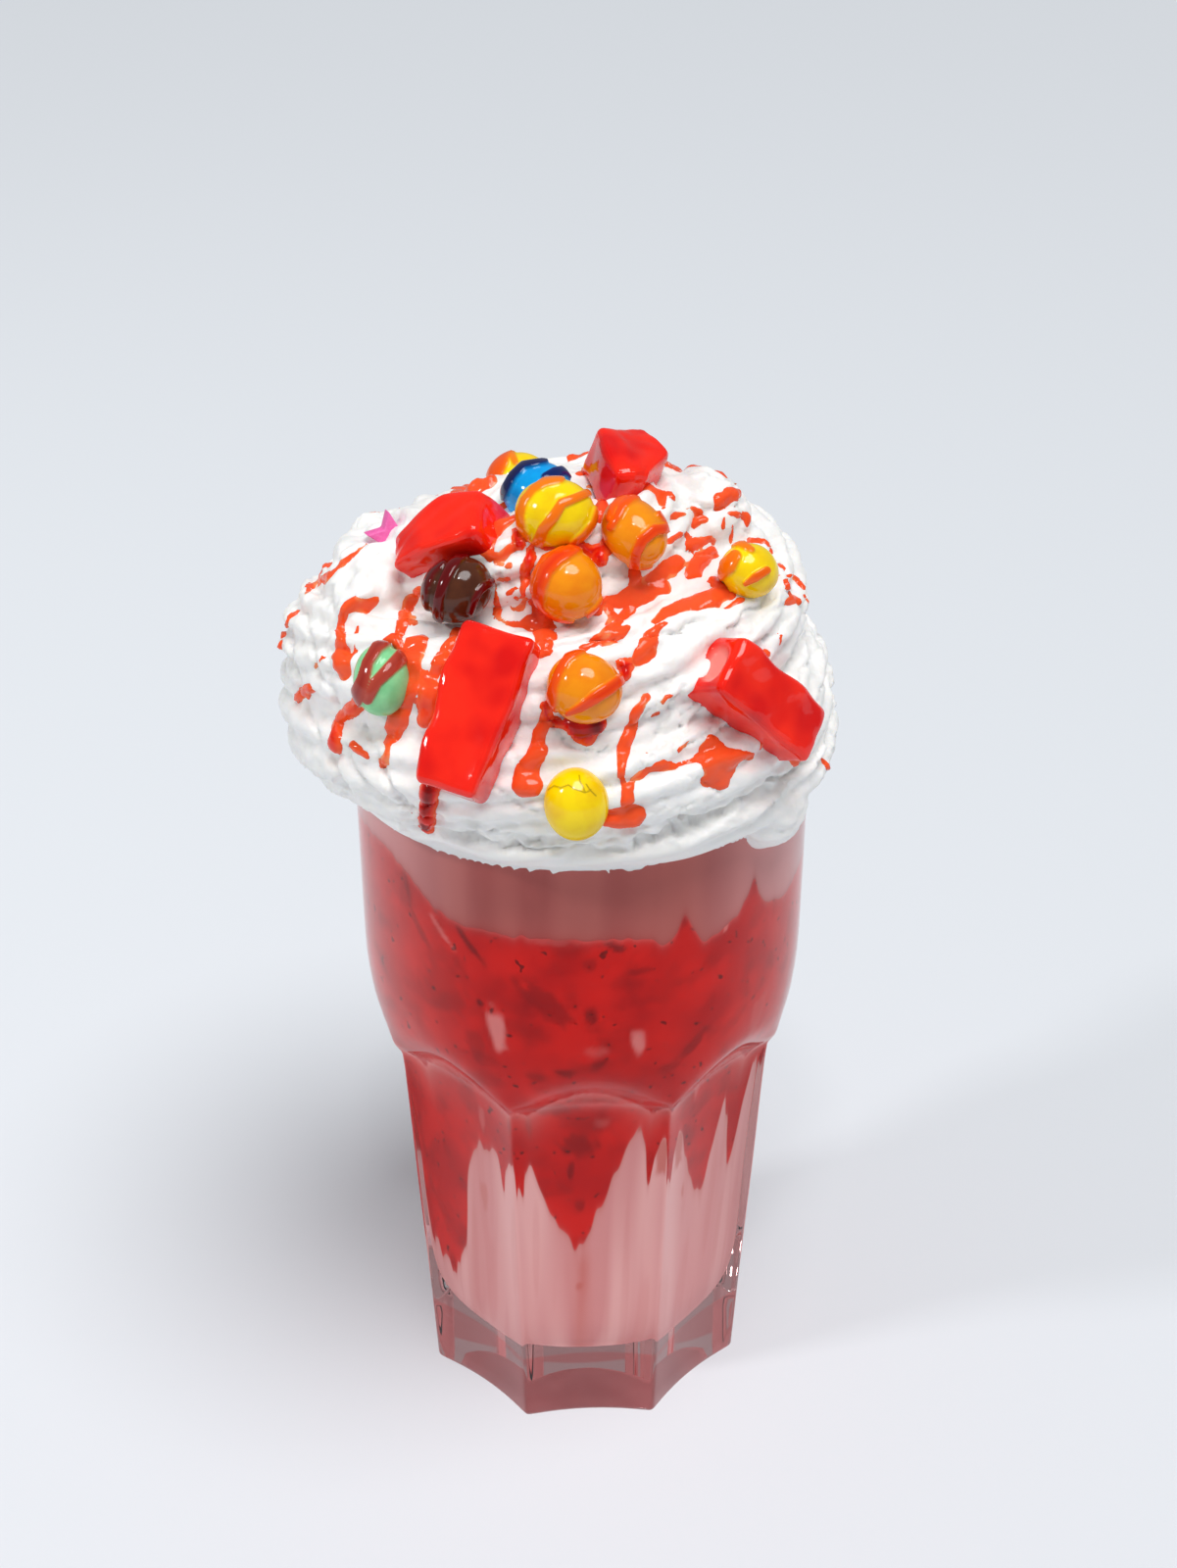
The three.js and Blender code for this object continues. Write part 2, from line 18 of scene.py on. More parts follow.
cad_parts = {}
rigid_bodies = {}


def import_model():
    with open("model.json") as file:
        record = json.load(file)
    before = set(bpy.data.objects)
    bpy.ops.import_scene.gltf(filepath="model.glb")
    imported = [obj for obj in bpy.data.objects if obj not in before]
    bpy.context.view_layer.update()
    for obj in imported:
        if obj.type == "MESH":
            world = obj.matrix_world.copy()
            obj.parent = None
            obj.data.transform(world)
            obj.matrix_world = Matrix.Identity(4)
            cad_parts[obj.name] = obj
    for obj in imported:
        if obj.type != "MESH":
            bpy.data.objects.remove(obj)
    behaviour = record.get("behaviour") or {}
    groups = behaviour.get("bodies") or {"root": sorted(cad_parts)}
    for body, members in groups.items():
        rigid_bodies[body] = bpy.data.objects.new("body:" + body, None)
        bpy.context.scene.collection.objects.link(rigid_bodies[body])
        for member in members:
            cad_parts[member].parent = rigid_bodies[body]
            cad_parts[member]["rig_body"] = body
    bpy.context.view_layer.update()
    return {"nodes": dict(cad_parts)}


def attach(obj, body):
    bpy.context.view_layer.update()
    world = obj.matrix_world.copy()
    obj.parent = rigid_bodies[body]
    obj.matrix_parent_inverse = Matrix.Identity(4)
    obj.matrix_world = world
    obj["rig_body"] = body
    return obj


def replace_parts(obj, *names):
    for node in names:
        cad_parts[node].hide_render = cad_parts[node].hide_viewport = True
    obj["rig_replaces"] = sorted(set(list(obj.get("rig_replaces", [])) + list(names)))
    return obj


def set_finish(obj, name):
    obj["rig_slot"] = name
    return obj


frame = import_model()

log = logging.getLogger("milkshake")

MM = 0.001
BODY = "root"

Pair = tuple[float, float]
Colour = tuple[float, float, float]
Array = np.ndarray
Piece = bpy.types.Object
Socket = bpy.types.NodeSocket


# ---------------------------------------------------------------- numbers and curves


def srgb(red: int, green: int, blue: int) -> Colour:
    """Turns a colour of 0 to 255 a channel, as a screen shows it, into linear light.

    Args:
        red: Red as shown.
        green: Green as shown.
        blue: Blue as shown.

    Returns:
        The three linear channels.
    """
    def linear(value: float) -> float:
        """One channel in linear light."""
        share = value / 255
        return share / 12.92 if share <= 0.04045 else ((share + 0.055) / 1.055) ** 2.4

    return linear(red), linear(green), linear(blue)


def smoothstep(value: Array, low: float, high: float) -> Array:
    """Eases a value from 0 at low to 1 at high.

    Args:
        value: The values to ease.
        low: Where the rise starts.
        high: Where it ends.

    Returns:
        Shares from 0 to 1.
    """
    share = np.clip((value - low) / (high - low), 0, 1)
    return share * share * (3 - 2 * share)


def fading(distance: Array, width: float) -> Array:
    """Shares that fall from 1 at an edge towards 0, by two thirds over each width."""
    return np.exp(-np.maximum(distance, 0) / width)


def turn_between(a: Array, b: Array) -> Array:
    """The signed difference of two azimuths in degrees, from -180 to 180."""
    return (np.asarray(a) - b + 180) % 360 - 180


def azimuth_of(points: Array) -> Array:
    """The azimuth of points in degrees, 0 at the front."""
    return np.degrees(np.arctan2(points[..., 0], -points[..., 1]))


def directions(azimuth: Array, elevation: Array) -> Array:
    """Unit vectors at azimuths and elevations given in degrees."""
    a, e = np.radians(azimuth), np.radians(elevation)
    return np.stack([np.cos(e) * np.sin(a), -np.cos(e) * np.cos(a), np.sin(e) + 0 * a], -1)


def round_axis(azimuth: Array, reach: Array, height: Array) -> Array:
    """Points at azimuths in degrees, distances from the Z axis and heights, one row each."""
    a = np.radians(azimuth)
    return np.stack([reach * np.sin(a), -reach * np.cos(a), height], -1)


def unit(vectors: Array) -> Array:
    """Vectors brought to length one."""
    return vectors / np.maximum(np.linalg.norm(vectors, axis=-1, keepdims=True), 1e-12)


def soft_min(a: Array, b: Array, width: float) -> Array:
    """The smaller of two values, with the change from one to the other rounded off.

    Args:
        a: First values.
        b: Second values.
        width: How far apart they are where the rounding ends, roughly.

    Returns:
        The rounded minimum.
    """
    low, high = np.minimum(a, b), np.maximum(a, b)
    return low - width * np.log1p(np.exp(-(high - low) / width))


def inside_line(spots: Array, line: Sequence[Pair], widths: Sequence[float]) -> Array:
    """How far spots lie inside a band that is drawn as a line with widths.

    Args:
        spots: Places in the photo, one row each.
        line: Points of the line.
        widths: The band's width at each point.

    Returns:
        Distances from the band's edge in pixels, negative outside it.
    """
    inside = np.full(len(spots), -1e3)
    for i in range(len(line) - 1):
        start, end = np.array(line[i]), np.array(line[i + 1])
        run = end - start
        share = np.clip((spots - start) @ run / (run @ run), 0, 1)
        away = np.linalg.norm(spots - start - share[:, None] * run, axis=1)
        half = (widths[i] + (widths[i + 1] - widths[i]) * share) / 2
        inside = np.maximum(inside, half - away)
    return inside


class Curve:
    """A smooth curve through points that never swings past them.

    Args:
        points: Places and values, with the places in rising order.
        period: Length after which the values repeat, or 0.
    """

    def __init__(self, points: Sequence[Pair], period: float = 0.0) -> None:
        """Works out the slope at each point."""
        xs, ys = (np.array(column, float) for column in zip(*points))
        self.period = period
        if period:
            xs = np.concatenate([xs[-2:] - period, xs, xs[:2] + period])
            ys = np.concatenate([ys[-2:], ys, ys[:2]])
        steps = np.diff(ys) / np.diff(xs)
        before, after = steps[:-1], steps[1:]
        same = before * after > 0
        inner = np.where(same, 2 * before * after / np.where(same, before + after, 1), 0)
        self.xs, self.ys = xs, ys
        self.slopes = np.concatenate([steps[:1], inner, steps[-1:]])

    def __call__(self, x: Array) -> Array:
        """The curve's value at each place."""
        x = np.asarray(x, float)
        if self.period:
            start = self.xs[2]
            x = (x - start) % self.period + start
        x = np.clip(x, self.xs[0], self.xs[-1])
        i = np.clip(np.searchsorted(self.xs, x) - 1, 0, len(self.xs) - 2)
        width = self.xs[i + 1] - self.xs[i]
        t = (x - self.xs[i]) / width
        rise = self.ys[i + 1] - self.ys[i]
        a, b = self.slopes[i] * width, self.slopes[i + 1] * width
        return self.ys[i] + t * (a + t * (3 * rise - 2 * a - b + t * (a + b - 2 * rise)))


class Ripple:
    """A smooth random wave in space, the same in every run.

    Args:
        size: Length of the waves in metres, or in the units of the points.
        seed: Which wave.
        waves: How many waves are added up.
    """

    def __init__(self, size: float, seed: int, waves: int = 9) -> None:
        """Draws the directions and phases of the waves."""
        draw = np.random.default_rng(seed)
        spread = unit(draw.normal(size=(waves, 3)))
        self.pull = spread * (2 * math.pi / size) * draw.uniform(0.6, 1.5, (waves, 1))
        self.phase = draw.uniform(0, 2 * math.pi, waves)

    def __call__(self, points: Array) -> Array:
        """The wave at points, mostly between -1 and 1."""
        turns = np.asarray(points) @ self.pull.T + self.phase
        return np.sin(turns).sum(-1) * math.sqrt(2 / len(self.phase)) * 0.7


# ---------------------------------------------------------------- modelling by hand


def deselect() -> None:
    """Leaves edit mode and selects nothing."""
    if bpy.context.object and bpy.context.object.mode != "OBJECT":
        bpy.ops.object.mode_set(mode="OBJECT")
    bpy.ops.object.select_all(action="DESELECT")


def take(obj: Piece) -> None:
    """Makes an object the only one selected, and active."""
    deselect()
    obj.select_set(True)
    bpy.context.view_layer.objects.active = obj


def added(name: str) -> Piece:
    """Names the primitive that was just added, and its mesh, and returns it."""
    obj = bpy.context.object
    obj.name = obj.data.name = name
    return obj


def settle(obj: Piece) -> None:
    """Puts an object's place, turn and size into its mesh."""
    take(obj)
    bpy.ops.object.transform_apply(location=True, rotation=True, scale=True)


def apply_modifier(obj: Piece, kind: str, **settings: object) -> None:
    """Adds a modifier with its settings and applies it.

    Args:
        obj: The piece.
        kind: The modifier's type.
        **settings: The modifier's settings.
    """
    take(obj)
    modifier = obj.modifiers.new(kind.title(), kind)
    for setting, value in settings.items():
        setattr(modifier, setting, value)
    bpy.ops.object.modifier_apply(modifier=modifier.name)


def points_of(obj: Piece) -> Array:
    """The places of a mesh's vertices, one row each."""
    flat = np.empty(len(obj.data.vertices) * 3)
    obj.data.vertices.foreach_get("co", flat)
    return flat.reshape(-1, 3)


def normals_of(obj: Piece) -> Array:
    """The normals at a mesh's vertices, one row each."""
    flat = np.empty(len(obj.data.vertices) * 3, np.float32)
    obj.data.vertex_normals.foreach_get("vector", flat)
    return flat.reshape(-1, 3).astype(float)


def move_points(obj: Piece, points: Array) -> None:
    """Moves a mesh's vertices to new places, given one row each."""
    obj.data.vertices.foreach_set("co", np.ascontiguousarray(points, float).ravel())
    obj.data.update()


def paint(obj: Piece, name: str, values: Array) -> None:
    """Stores a number on each vertex, for a material to read.

    Args:
        obj: The piece.
        name: The attribute's name.
        values: One value a vertex.
    """
    layer = obj.data.attributes.get(name) or obj.data.attributes.new(name, "FLOAT", "POINT")
    layer.data.foreach_set("value", np.ascontiguousarray(values, np.float32).ravel())


def shade_smooth(obj: Piece, angle: float = 180.0) -> None:
    """Shades a piece smooth across edges that turn less than an angle in degrees."""
    take(obj)
    if angle >= 180:
        bpy.ops.object.shade_smooth()
    else:
        bpy.ops.object.shade_smooth_by_angle(angle=math.radians(angle))


def draw_chain(name: str, points: Sequence[Pair]) -> Piece:
    """Draws a chain of edges in the XZ plane, extruding one vertex from point to point.

    Args:
        name: The object's name.
        points: Distances from the axis and heights, in metres.

    Returns:
        The object, in edit mode with all of it selected.
    """
    deselect()
    bpy.ops.mesh.primitive_plane_add(size=MM)
    obj = added(name)
    bpy.ops.object.mode_set(mode="EDIT")
    bpy.ops.mesh.merge(type="CENTER")
    x, z = points[0]
    bpy.ops.transform.translate(value=(x, 0, z))
    for ahead_x, ahead_z in points[1:]:
        step = (ahead_x - x, 0, ahead_z - z)
        bpy.ops.mesh.extrude_region_move(TRANSFORM_OT_translate={"value": step})
        x, z = ahead_x, ahead_z
    bpy.ops.mesh.select_all(action="SELECT")
    return obj


def spin_chain(name: str, points: Sequence[Pair], columns: int) -> Piece:
    """Spins a chain round the Z axis into a closed body.

    Args:
        name: The object's name.
        points: Distances from the axis and heights, both ends on the axis.
        columns: Steps round the axis.

    Returns:
        The object, in object mode.
    """
    obj = draw_chain(name, points)
    bpy.ops.object.mode_set(mode="OBJECT")
    apply_modifier(obj, "SCREW", angle=2 * math.pi, steps=columns, render_steps=columns)
    bpy.ops.object.mode_set(mode="EDIT")
    bpy.ops.mesh.select_all(action="SELECT")
    bpy.ops.mesh.remove_doubles(threshold=1e-6)
    bpy.ops.mesh.normals_make_consistent(inside=False)
    bpy.ops.object.mode_set(mode="OBJECT")
    return obj


def straight_tube(name: str, around: int, along: int) -> Piece:
    """A closed tube of radius 1 that stands on the origin and is 1 tall.

    Args:
        name: The object's name.
        around: Sides.
        along: Steps from one end to the other.

    Returns:
        The object, in object mode.
    """
    deselect()
    bpy.ops.mesh.primitive_circle_add(vertices=around, radius=1, fill_type="NOTHING")
    tube = added(name)
    apply_modifier(tube, "SCREW", angle=0, screw_offset=1, steps=along, render_steps=along)
    bpy.ops.object.mode_set(mode="EDIT")
    for end in (0.0, 1.0):
        bpy.ops.mesh.select_all(action="DESELECT")
        bpy.ops.object.mode_set(mode="OBJECT")
        bpy.context.tool_settings.mesh_select_mode = (True, False, False)
        for vertex in tube.data.vertices:
            vertex.select = abs(vertex.co.z - end) < 1e-5
        bpy.ops.object.mode_set(mode="EDIT")
        bpy.ops.mesh.edge_face_add()
    bpy.ops.mesh.select_all(action="SELECT")
    bpy.ops.mesh.normals_make_consistent(inside=False)
    bpy.ops.object.mode_set(mode="OBJECT")
    return tube


def joined(name: str, pieces: Sequence[Piece]) -> Piece:
    """Joins pieces into one object.

    Args:
        name: The joined object's name.
        pieces: What is joined; all of it becomes one mesh.

    Returns:
        The joined object.
    """
    take(pieces[0])
    for piece in pieces:
        piece.select_set(True)
    bpy.ops.object.join()
    return added(name)


def finish_piece(obj: Piece, finish: "Finish", slot: str, *nodes: str) -> None:
    """Hands a finished piece to the frame: its body, finish, slot and the nodes it stands for.

    Args:
        obj: The piece, with its place in its mesh.
        finish: What it is made of.
        slot: The record's material slot.
        *nodes: The nodes that the piece replaces.
    """
    obj.data.materials.clear()
    obj.data.materials.append(finish.material())
    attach(obj, BODY)
    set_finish(obj, slot)
    if nodes:
        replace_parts(obj, *nodes)
    log.info("%s: %d faces", obj.name, len(obj.data.polygons))


# ---------------------------------------------------------------- finishes


class Tree:
    """A material's nodes, with short ways to add and wire them.

    Args:
        name: The material's name.
    """

    def __init__(self, name: str) -> None:
        """Starts a material that holds one Principled shader."""
        self.data = bpy.data.materials.new(name)
        self.data.use_nodes = True
        self.nodes = self.data.node_tree.nodes
        self.links = self.data.node_tree.links
        self.shader = self.nodes["Principled BSDF"]

    def add(self, kind: str, **settings: object) -> bpy.types.Node:
        """Adds a node and sets what is named on it."""
        node = self.nodes.new(kind)
        for setting, value in settings.items():
            setattr(node, setting, value)
        return node

    def set(self, **values: object) -> None:
        """Sets sockets of the shader, an underscore standing for a space in a name."""
        for name, value in values.items():
            if isinstance(value, tuple) and len(value) == 3 and "Radius" not in name:
                value = (*value, 1.0)
            self.shader.inputs[name.replace("_", " ")].default_value = value

    def wire(self, source: Socket, target: Socket) -> None:
        """Links two sockets."""
        self.links.new(source, target)

    def spots(self, size: float, detail: float = 2.0, stretch: float = 1.0) -> Socket:
        """Noise over the piece, from 0 to 1.

        Args:
            size: Width of the spots in metres.
            detail: How much finer noise lies over it.
            stretch: How many times taller than wide the spots are.

        Returns:
            The noise's socket.
        """
        place = self.add("ShaderNodeTexCoord").outputs["Object"]
        mapping = self.add("ShaderNodeMapping")
        mapping.inputs["Scale"].default_value = (1 / size, 1 / size, 1 / (size * stretch))
        self.wire(place, mapping.inputs["Vector"])
        noise = self.add("ShaderNodeTexNoise")
        noise.inputs["Scale"].default_value = 1.0
        noise.inputs["Detail"].default_value = detail
        self.wire(mapping.outputs["Vector"], noise.inputs["Vector"])
        return noise.outputs["Fac"]

    def painted(self, name: str) -> Socket:
        """The number that paint() stored on the piece under a name."""
        return self.add("ShaderNodeAttribute", attribute_name=name).outputs["Fac"]

    def lowness(self, low: float, high: float) -> Socket:
        """A share that is 1 below one height, in metres, and 0 above another."""
        parts = self.add("ShaderNodeSeparateXYZ")
        self.wire(self.add("ShaderNodeTexCoord").outputs["Object"], parts.inputs["Vector"])
        node = self.add("ShaderNodeMapRange", interpolation_type="SMOOTHSTEP")
        for name, value in (("From Min", low), ("From Max", high), ("To Min", 1.0), ("To Max", 0.0)):
            node.inputs[name].default_value = value
        self.wire(parts.outputs["Z"], node.inputs["Value"])
        return node.outputs["Result"]

    def ramp(self, share: Socket, stops: Sequence[tuple[float, Colour]]) -> Socket:
        """Colours chosen by a share.

        Args:
            share: What chooses, from 0 to 1.
            stops: Shares and the colours there.

        Returns:
            The colour's socket.
        """
        node = self.add("ShaderNodeValToRGB")
        bar = node.color_ramp.elements
        while len(bar) < len(stops):
            bar.new(0.5)
        for element, (place, colour) in zip(bar, stops):
            element.position = place
            element.color = (*colour, 1.0)
        self.wire(share, node.inputs["Fac"])
        return node.outputs["Color"]

    def shares(self, share: Socket, stops: Sequence[Pair]) -> Socket:
        """Numbers chosen by a share, as ramp() does with greys."""
        return self.ramp(share, [(place, (value, value, value)) for place, value in stops])

    def blend(self, share: Socket, low: object, high: object) -> Socket:
        """Mixes two colours, each a colour or a socket.

        Args:
            share: How much of the second.
            low: The first colour.
            high: The second colour.

        Returns:
            The mixed colour's socket.
        """
        node = self.add("ShaderNodeMix", data_type="RGBA")
        self.wire(share, node.inputs["Factor"])
        for value, socket in ((low, node.inputs["A"]), (high, node.inputs["B"])):
            if isinstance(value, Socket):
                self.wire(value, socket)
            else:
                socket.default_value = (*value, 1.0)
        return node.outputs["Result"]

    def product(self, a: Socket, b: object) -> Socket:
        """Two shares multiplied, the second a socket or a number."""
        node = self.add("ShaderNodeMath", operation="MULTIPLY")
        self.wire(a, node.inputs[0])
        if isinstance(b, Socket):
            self.wire(b, node.inputs[1])
        else:
            node.inputs[1].default_value = b
        return node.outputs["Value"]

    def colour(self, source: Socket) -> None:
        """Wires the shader's colour."""
        self.wire(source, self.shader.inputs["Base Color"])

    def bump(self, height: Socket, depth: float) -> None:
        """Lets a height in shares raise the surface by up to a depth in metres."""
        node = self.add("ShaderNodeBump")
        node.inputs["Strength"].default_value = 1.0
        node.inputs["Distance"].default_value = depth
        self.wire(height, node.inputs["Height"])
        self.wire(node.outputs["Normal"], self.shader.inputs["Normal"])


class Finish:
    """What a piece is made of. Its material is built once and shared."""

    title: ClassVar[str] = ""

    def material(self) -> bpy.types.Material:
        """The finished material."""
        name = f"{self.label()}_finish"
        return bpy.data.materials.get(name) or self.build(Tree(name)).data

    def label(self) -> str:
        """The material's name."""
        return self.title

    def build(self, tree: Tree) -> Tree:
        """Wires the material."""
        raise NotImplementedError


@dataclass(frozen=True)
class ClearGlass(Finish):
    """Pressed soda-lime glass, faintly grey."""

    title: ClassVar[str] = "clear_glass"
    tint: Colour = (0.965, 0.975, 0.98)
    # painted reflection: the foot's glass is tinted pink, standing in for the drink seen glowing through it
    painted_foot_reflection: Colour = (1.0, 0.3, 0.3)  # the foot glows with the drink above it
    foot_heights: Pair = (16.6 * MM, 17.4 * MM)  # where one tint turns into the other
    sheen: float = 0.3  # how much of the room the wall throws back

    def build(self, tree: Tree) -> Tree:
        """Clear glass that bends what is behind it, its foot tinted pink by a painted reflection of the
        drink.
        """
        foot = tree.lowness(*self.foot_heights)
        tree.colour(tree.blend(foot, self.tint, self.painted_foot_reflection))
        tree.wire(tree.blend(foot, (self.sheen,) * 3, (1.0, 1.0, 1.0)), tree.shader.inputs["Specular Tint"])
        tree.set(Roughness=0.0, IOR=1.5, Transmission_Weight=1.0, Specular_IOR_Level=0.4)
        tree.bump(tree.spots(22 * MM, 0.0), 0.12 * MM)
        return tree


@dataclass(frozen=True)
class Milk(Finish):
    """Milkshake seen through the glass, streaked where sauce has run over it."""

    name: str
    pale: Colour
    deep: Colour
    stain: Colour
    # the pale colour of the painted sheen of the glass at the sides
    side: Colour

    def label(self) -> str:
        """The material's name."""
        return self.name

    def build(self, tree: Tree) -> Tree:
        """Soft uneven milk with tall streaks, paler at the sides by a painted sheen of the glass, and
        stained by the sauce.
        """
        bands = tree.shares(tree.spots(8 * MM, 0.6, stretch=14.0), [(0.38, 0.0), (0.62, 1.0)])
        milk = tree.blend(bands, self.pale, self.deep)
        milk = tree.blend(tree.painted("side"), milk, self.side)
        tree.colour(tree.blend(tree.painted("stain"), milk, self.stain))
        tree.set(Roughness=0.6, Specular_IOR_Level=0.0)
        return tree


@dataclass(frozen=True)
class Sauce(Finish):
    """Strawberry sauce against the glass: flesh, seeds, thinner places pale with milk, and a painted sheen
    of the glass.
    """

    title: ClassVar[str] = "strawberry_sauce"
    bright: Colour = srgb(214, 24, 18)
    plain: Colour = srgb(188, 16, 16)
    dark: Colour = srgb(122, 10, 14)
    seed: Colour = srgb(84, 12, 12)
    # the pale of milk behind thin sauce, also the colour of the painted sheen and highlights of the glass
    milk_and_sheen: Colour = srgb(226, 132, 128)

    def build(self, tree: Tree) -> Tree:
        """Red flesh in patches, with seeds, paled by milk where it is thin and by painted sheen and
        highlights of the glass.
        """
        patches = tree.shares(tree.spots(12 * MM, 3.0), [(0.36, 0.0), (0.62, 1.0)])
        flesh = tree.blend(patches, self.plain, self.bright)
        shadows = tree.shares(tree.spots(7 * MM, 3.0), [(0.5, 0.0), (0.72, 1.0)])
        flesh = tree.blend(tree.product(shadows, 0.45), flesh, self.dark)
        flesh = tree.blend(tree.painted("dark"), flesh, self.dark)
        clots = tree.shares(tree.spots(1.7 * MM, 1.0), [(0.7, 0.0), (0.74, 1.0)])
        seeded = tree.blend(tree.product(clots, 0.8), flesh, self.seed)
        tree.colour(tree.blend(tree.painted("milk_and_sheen"), seeded, self.milk_and_sheen))
        tree.set(Roughness=0.6, Specular_IOR_Level=0.0)
        return tree


@dataclass(frozen=True)
class Cream(Finish):
    """Whipped cream: matt, white and slightly see-through."""

    title: ClassVar[str] = "whipped_cream"
    white: Colour = srgb(252, 251, 249)
    hollow: Colour = srgb(244, 242, 238)

    def build(self, tree: Tree) -> Tree:
        """Cream with a fine uneven skin."""
        tree.colour(tree.blend(tree.spots(9 * MM, 2.0), self.white, self.hollow))
        tree.set(Roughness=0.42, Subsurface_Weight=0.35, Subsurface_Radius=(1.0, 0.85, 0.7))
        tree.set(Subsurface_Scale=1.0 * MM, Specular_IOR_Level=0.35)
        tree.bump(tree.spots(2.4 * MM, 4.0), 0.3 * MM)
        return tree


@dataclass(frozen=True)
class Syrup(Finish):
    """Strawberry syrup: orange-red where it is thin, deep red where it lies thick."""

    title: ClassVar[str] = "strawberry_syrup"
    film: Colour = srgb(255, 146, 92)
    thin: Colour = srgb(254, 88, 40)
    thick: Colour = srgb(226, 26, 10)
    pool: Colour = srgb(128, 2, 6)

    def build(self, tree: Tree) -> Tree:
        """Glossy syrup coloured by its depth."""
        depth = tree.painted("depth")
        shades = (self.film, self.thin, self.thin, self.thick, self.pool)
        tree.colour(tree.ramp(depth, list(zip((0.0, 0.12, 0.42, 0.72, 1.0), shades))))
        tree.set(Roughness=0.07, Specular_IOR_Level=0.35, Subsurface_Weight=0.3)
        tree.set(Subsurface_Radius=(1.0, 0.25, 0.12), Subsurface_Scale=1.2 * MM)
        tree.bump(tree.spots(4 * MM, 1.0), 0.15 * MM)
        return tree


class Sugar(Enum):
    """The candies' shells, and the look of syrup over each: shell, its shade, thin and thick syrup."""

    YELLOW = (srgb(252, 218, 4), srgb(242, 198, 4), srgb(246, 134, 8), srgb(244, 88, 6))
    ORANGE = (srgb(246, 148, 12), srgb(238, 130, 8), srgb(250, 98, 12), srgb(228, 44, 4))
    BROWN = (srgb(84, 42, 22), srgb(62, 26, 14), srgb(104, 4, 6), srgb(70, 0, 4))
    GREEN = (srgb(146, 224, 160), srgb(122, 204, 142), srgb(188, 76, 58), srgb(140, 24, 20))
    BLUE = (srgb(0, 166, 238), srgb(0, 138, 214), srgb(8, 46, 120), srgb(6, 14, 72))


@dataclass(frozen=True)
class CandyShell(Finish):
    """A polished sugar shell with syrup run over it."""

    sugar: Sugar
    cracked: bool = False

    def label(self) -> str:
        """The material's name."""
        return f"candy_shell_{self.sugar.name.lower()}" + ("_cracked" if self.cracked else "")

    def build(self, tree: Tree) -> Tree:
        """Sugar with faint mottling, hairline cracks if it has them, and syrup where painted."""
        shell, shade, thin, thick = self.sugar.value
        sugar = tree.blend(tree.shares(tree.spots(4 * MM, 3.0), [(0.4, 0.0), (0.7, 1.0)]), shell, shade)
        if self.cracked:
            sugar = tree.blend(tree.painted("crack"), sugar, srgb(120, 96, 10))
        syrup = tree.blend(tree.painted("depth"), thin, thick)
        tree.colour(tree.blend(tree.painted("syrup"), sugar, syrup))
        tree.set(Roughness=0.1, Specular_IOR_Level=0.4)
        tree.bump(tree.spots(3 * MM, 2.0), 0.06 * MM)
        return tree


@dataclass(frozen=True)
class Jelly(Finish):
    """Cut red jelly, glossy and half clear, palest at its hollow end, where a highlight is painted."""

    title: ClassVar[str] = "red_jelly"
    red: Colour = srgb(255, 40, 18)
    deep: Colour = srgb(222, 10, 6)
    # the pale colour of the painted highlight on the hollow end
    hollow: Colour = srgb(248, 132, 122)

    def build(self, tree: Tree) -> Tree:
        """Red jelly with darker clots and a painted pale highlight on its hollow end."""
        clots = tree.shares(tree.spots(8 * MM, 1.5), [(0.4, 0.0), (0.68, 1.0)])
        flesh = tree.blend(clots, self.red, self.deep)
        tree.colour(tree.blend(tree.painted("hollow"), flesh, self.hollow))
        tree.set(Roughness=0.07, Subsurface_Weight=0.3, Subsurface_Radius=(1.0, 0.2, 0.12))
        tree.set(Subsurface_Scale=1.6 * MM, Specular_IOR_Level=0.45)
        tree.bump(tree.spots(4 * MM, 2.0), 0.12 * MM)
        return tree


@dataclass(frozen=True)
class PinkSugar(Finish):
    """Pressed pink sugar."""

    title: ClassVar[str] = "pink_sugar"
    pink: Colour = srgb(232, 70, 158)
    pale: Colour = srgb(246, 128, 190)

    def build(self, tree: Tree) -> Tree:
        """Sugar with a fine grain."""
        grain = tree.spots(0.6 * MM, 2.0)
        tree.colour(tree.blend(grain, self.pink, self.pale))
        tree.set(Roughness=0.5)
        tree.bump(grain, 0.05 * MM)
        return tree


@dataclass(frozen=True)
class StudioPaper(Finish):
    """The pale seamless floor."""

    title: ClassVar[str] = "studio_paper"
    tone: Colour = srgb(222, 226, 231)

    def build(self, tree: Tree) -> Tree:
        """Even matt paper."""
        tree.set(Base_Color=self.tone, Roughness=0.9, Specular_IOR_Level=0.1)
        return tree


# ---------------------------------------------------------------- studio


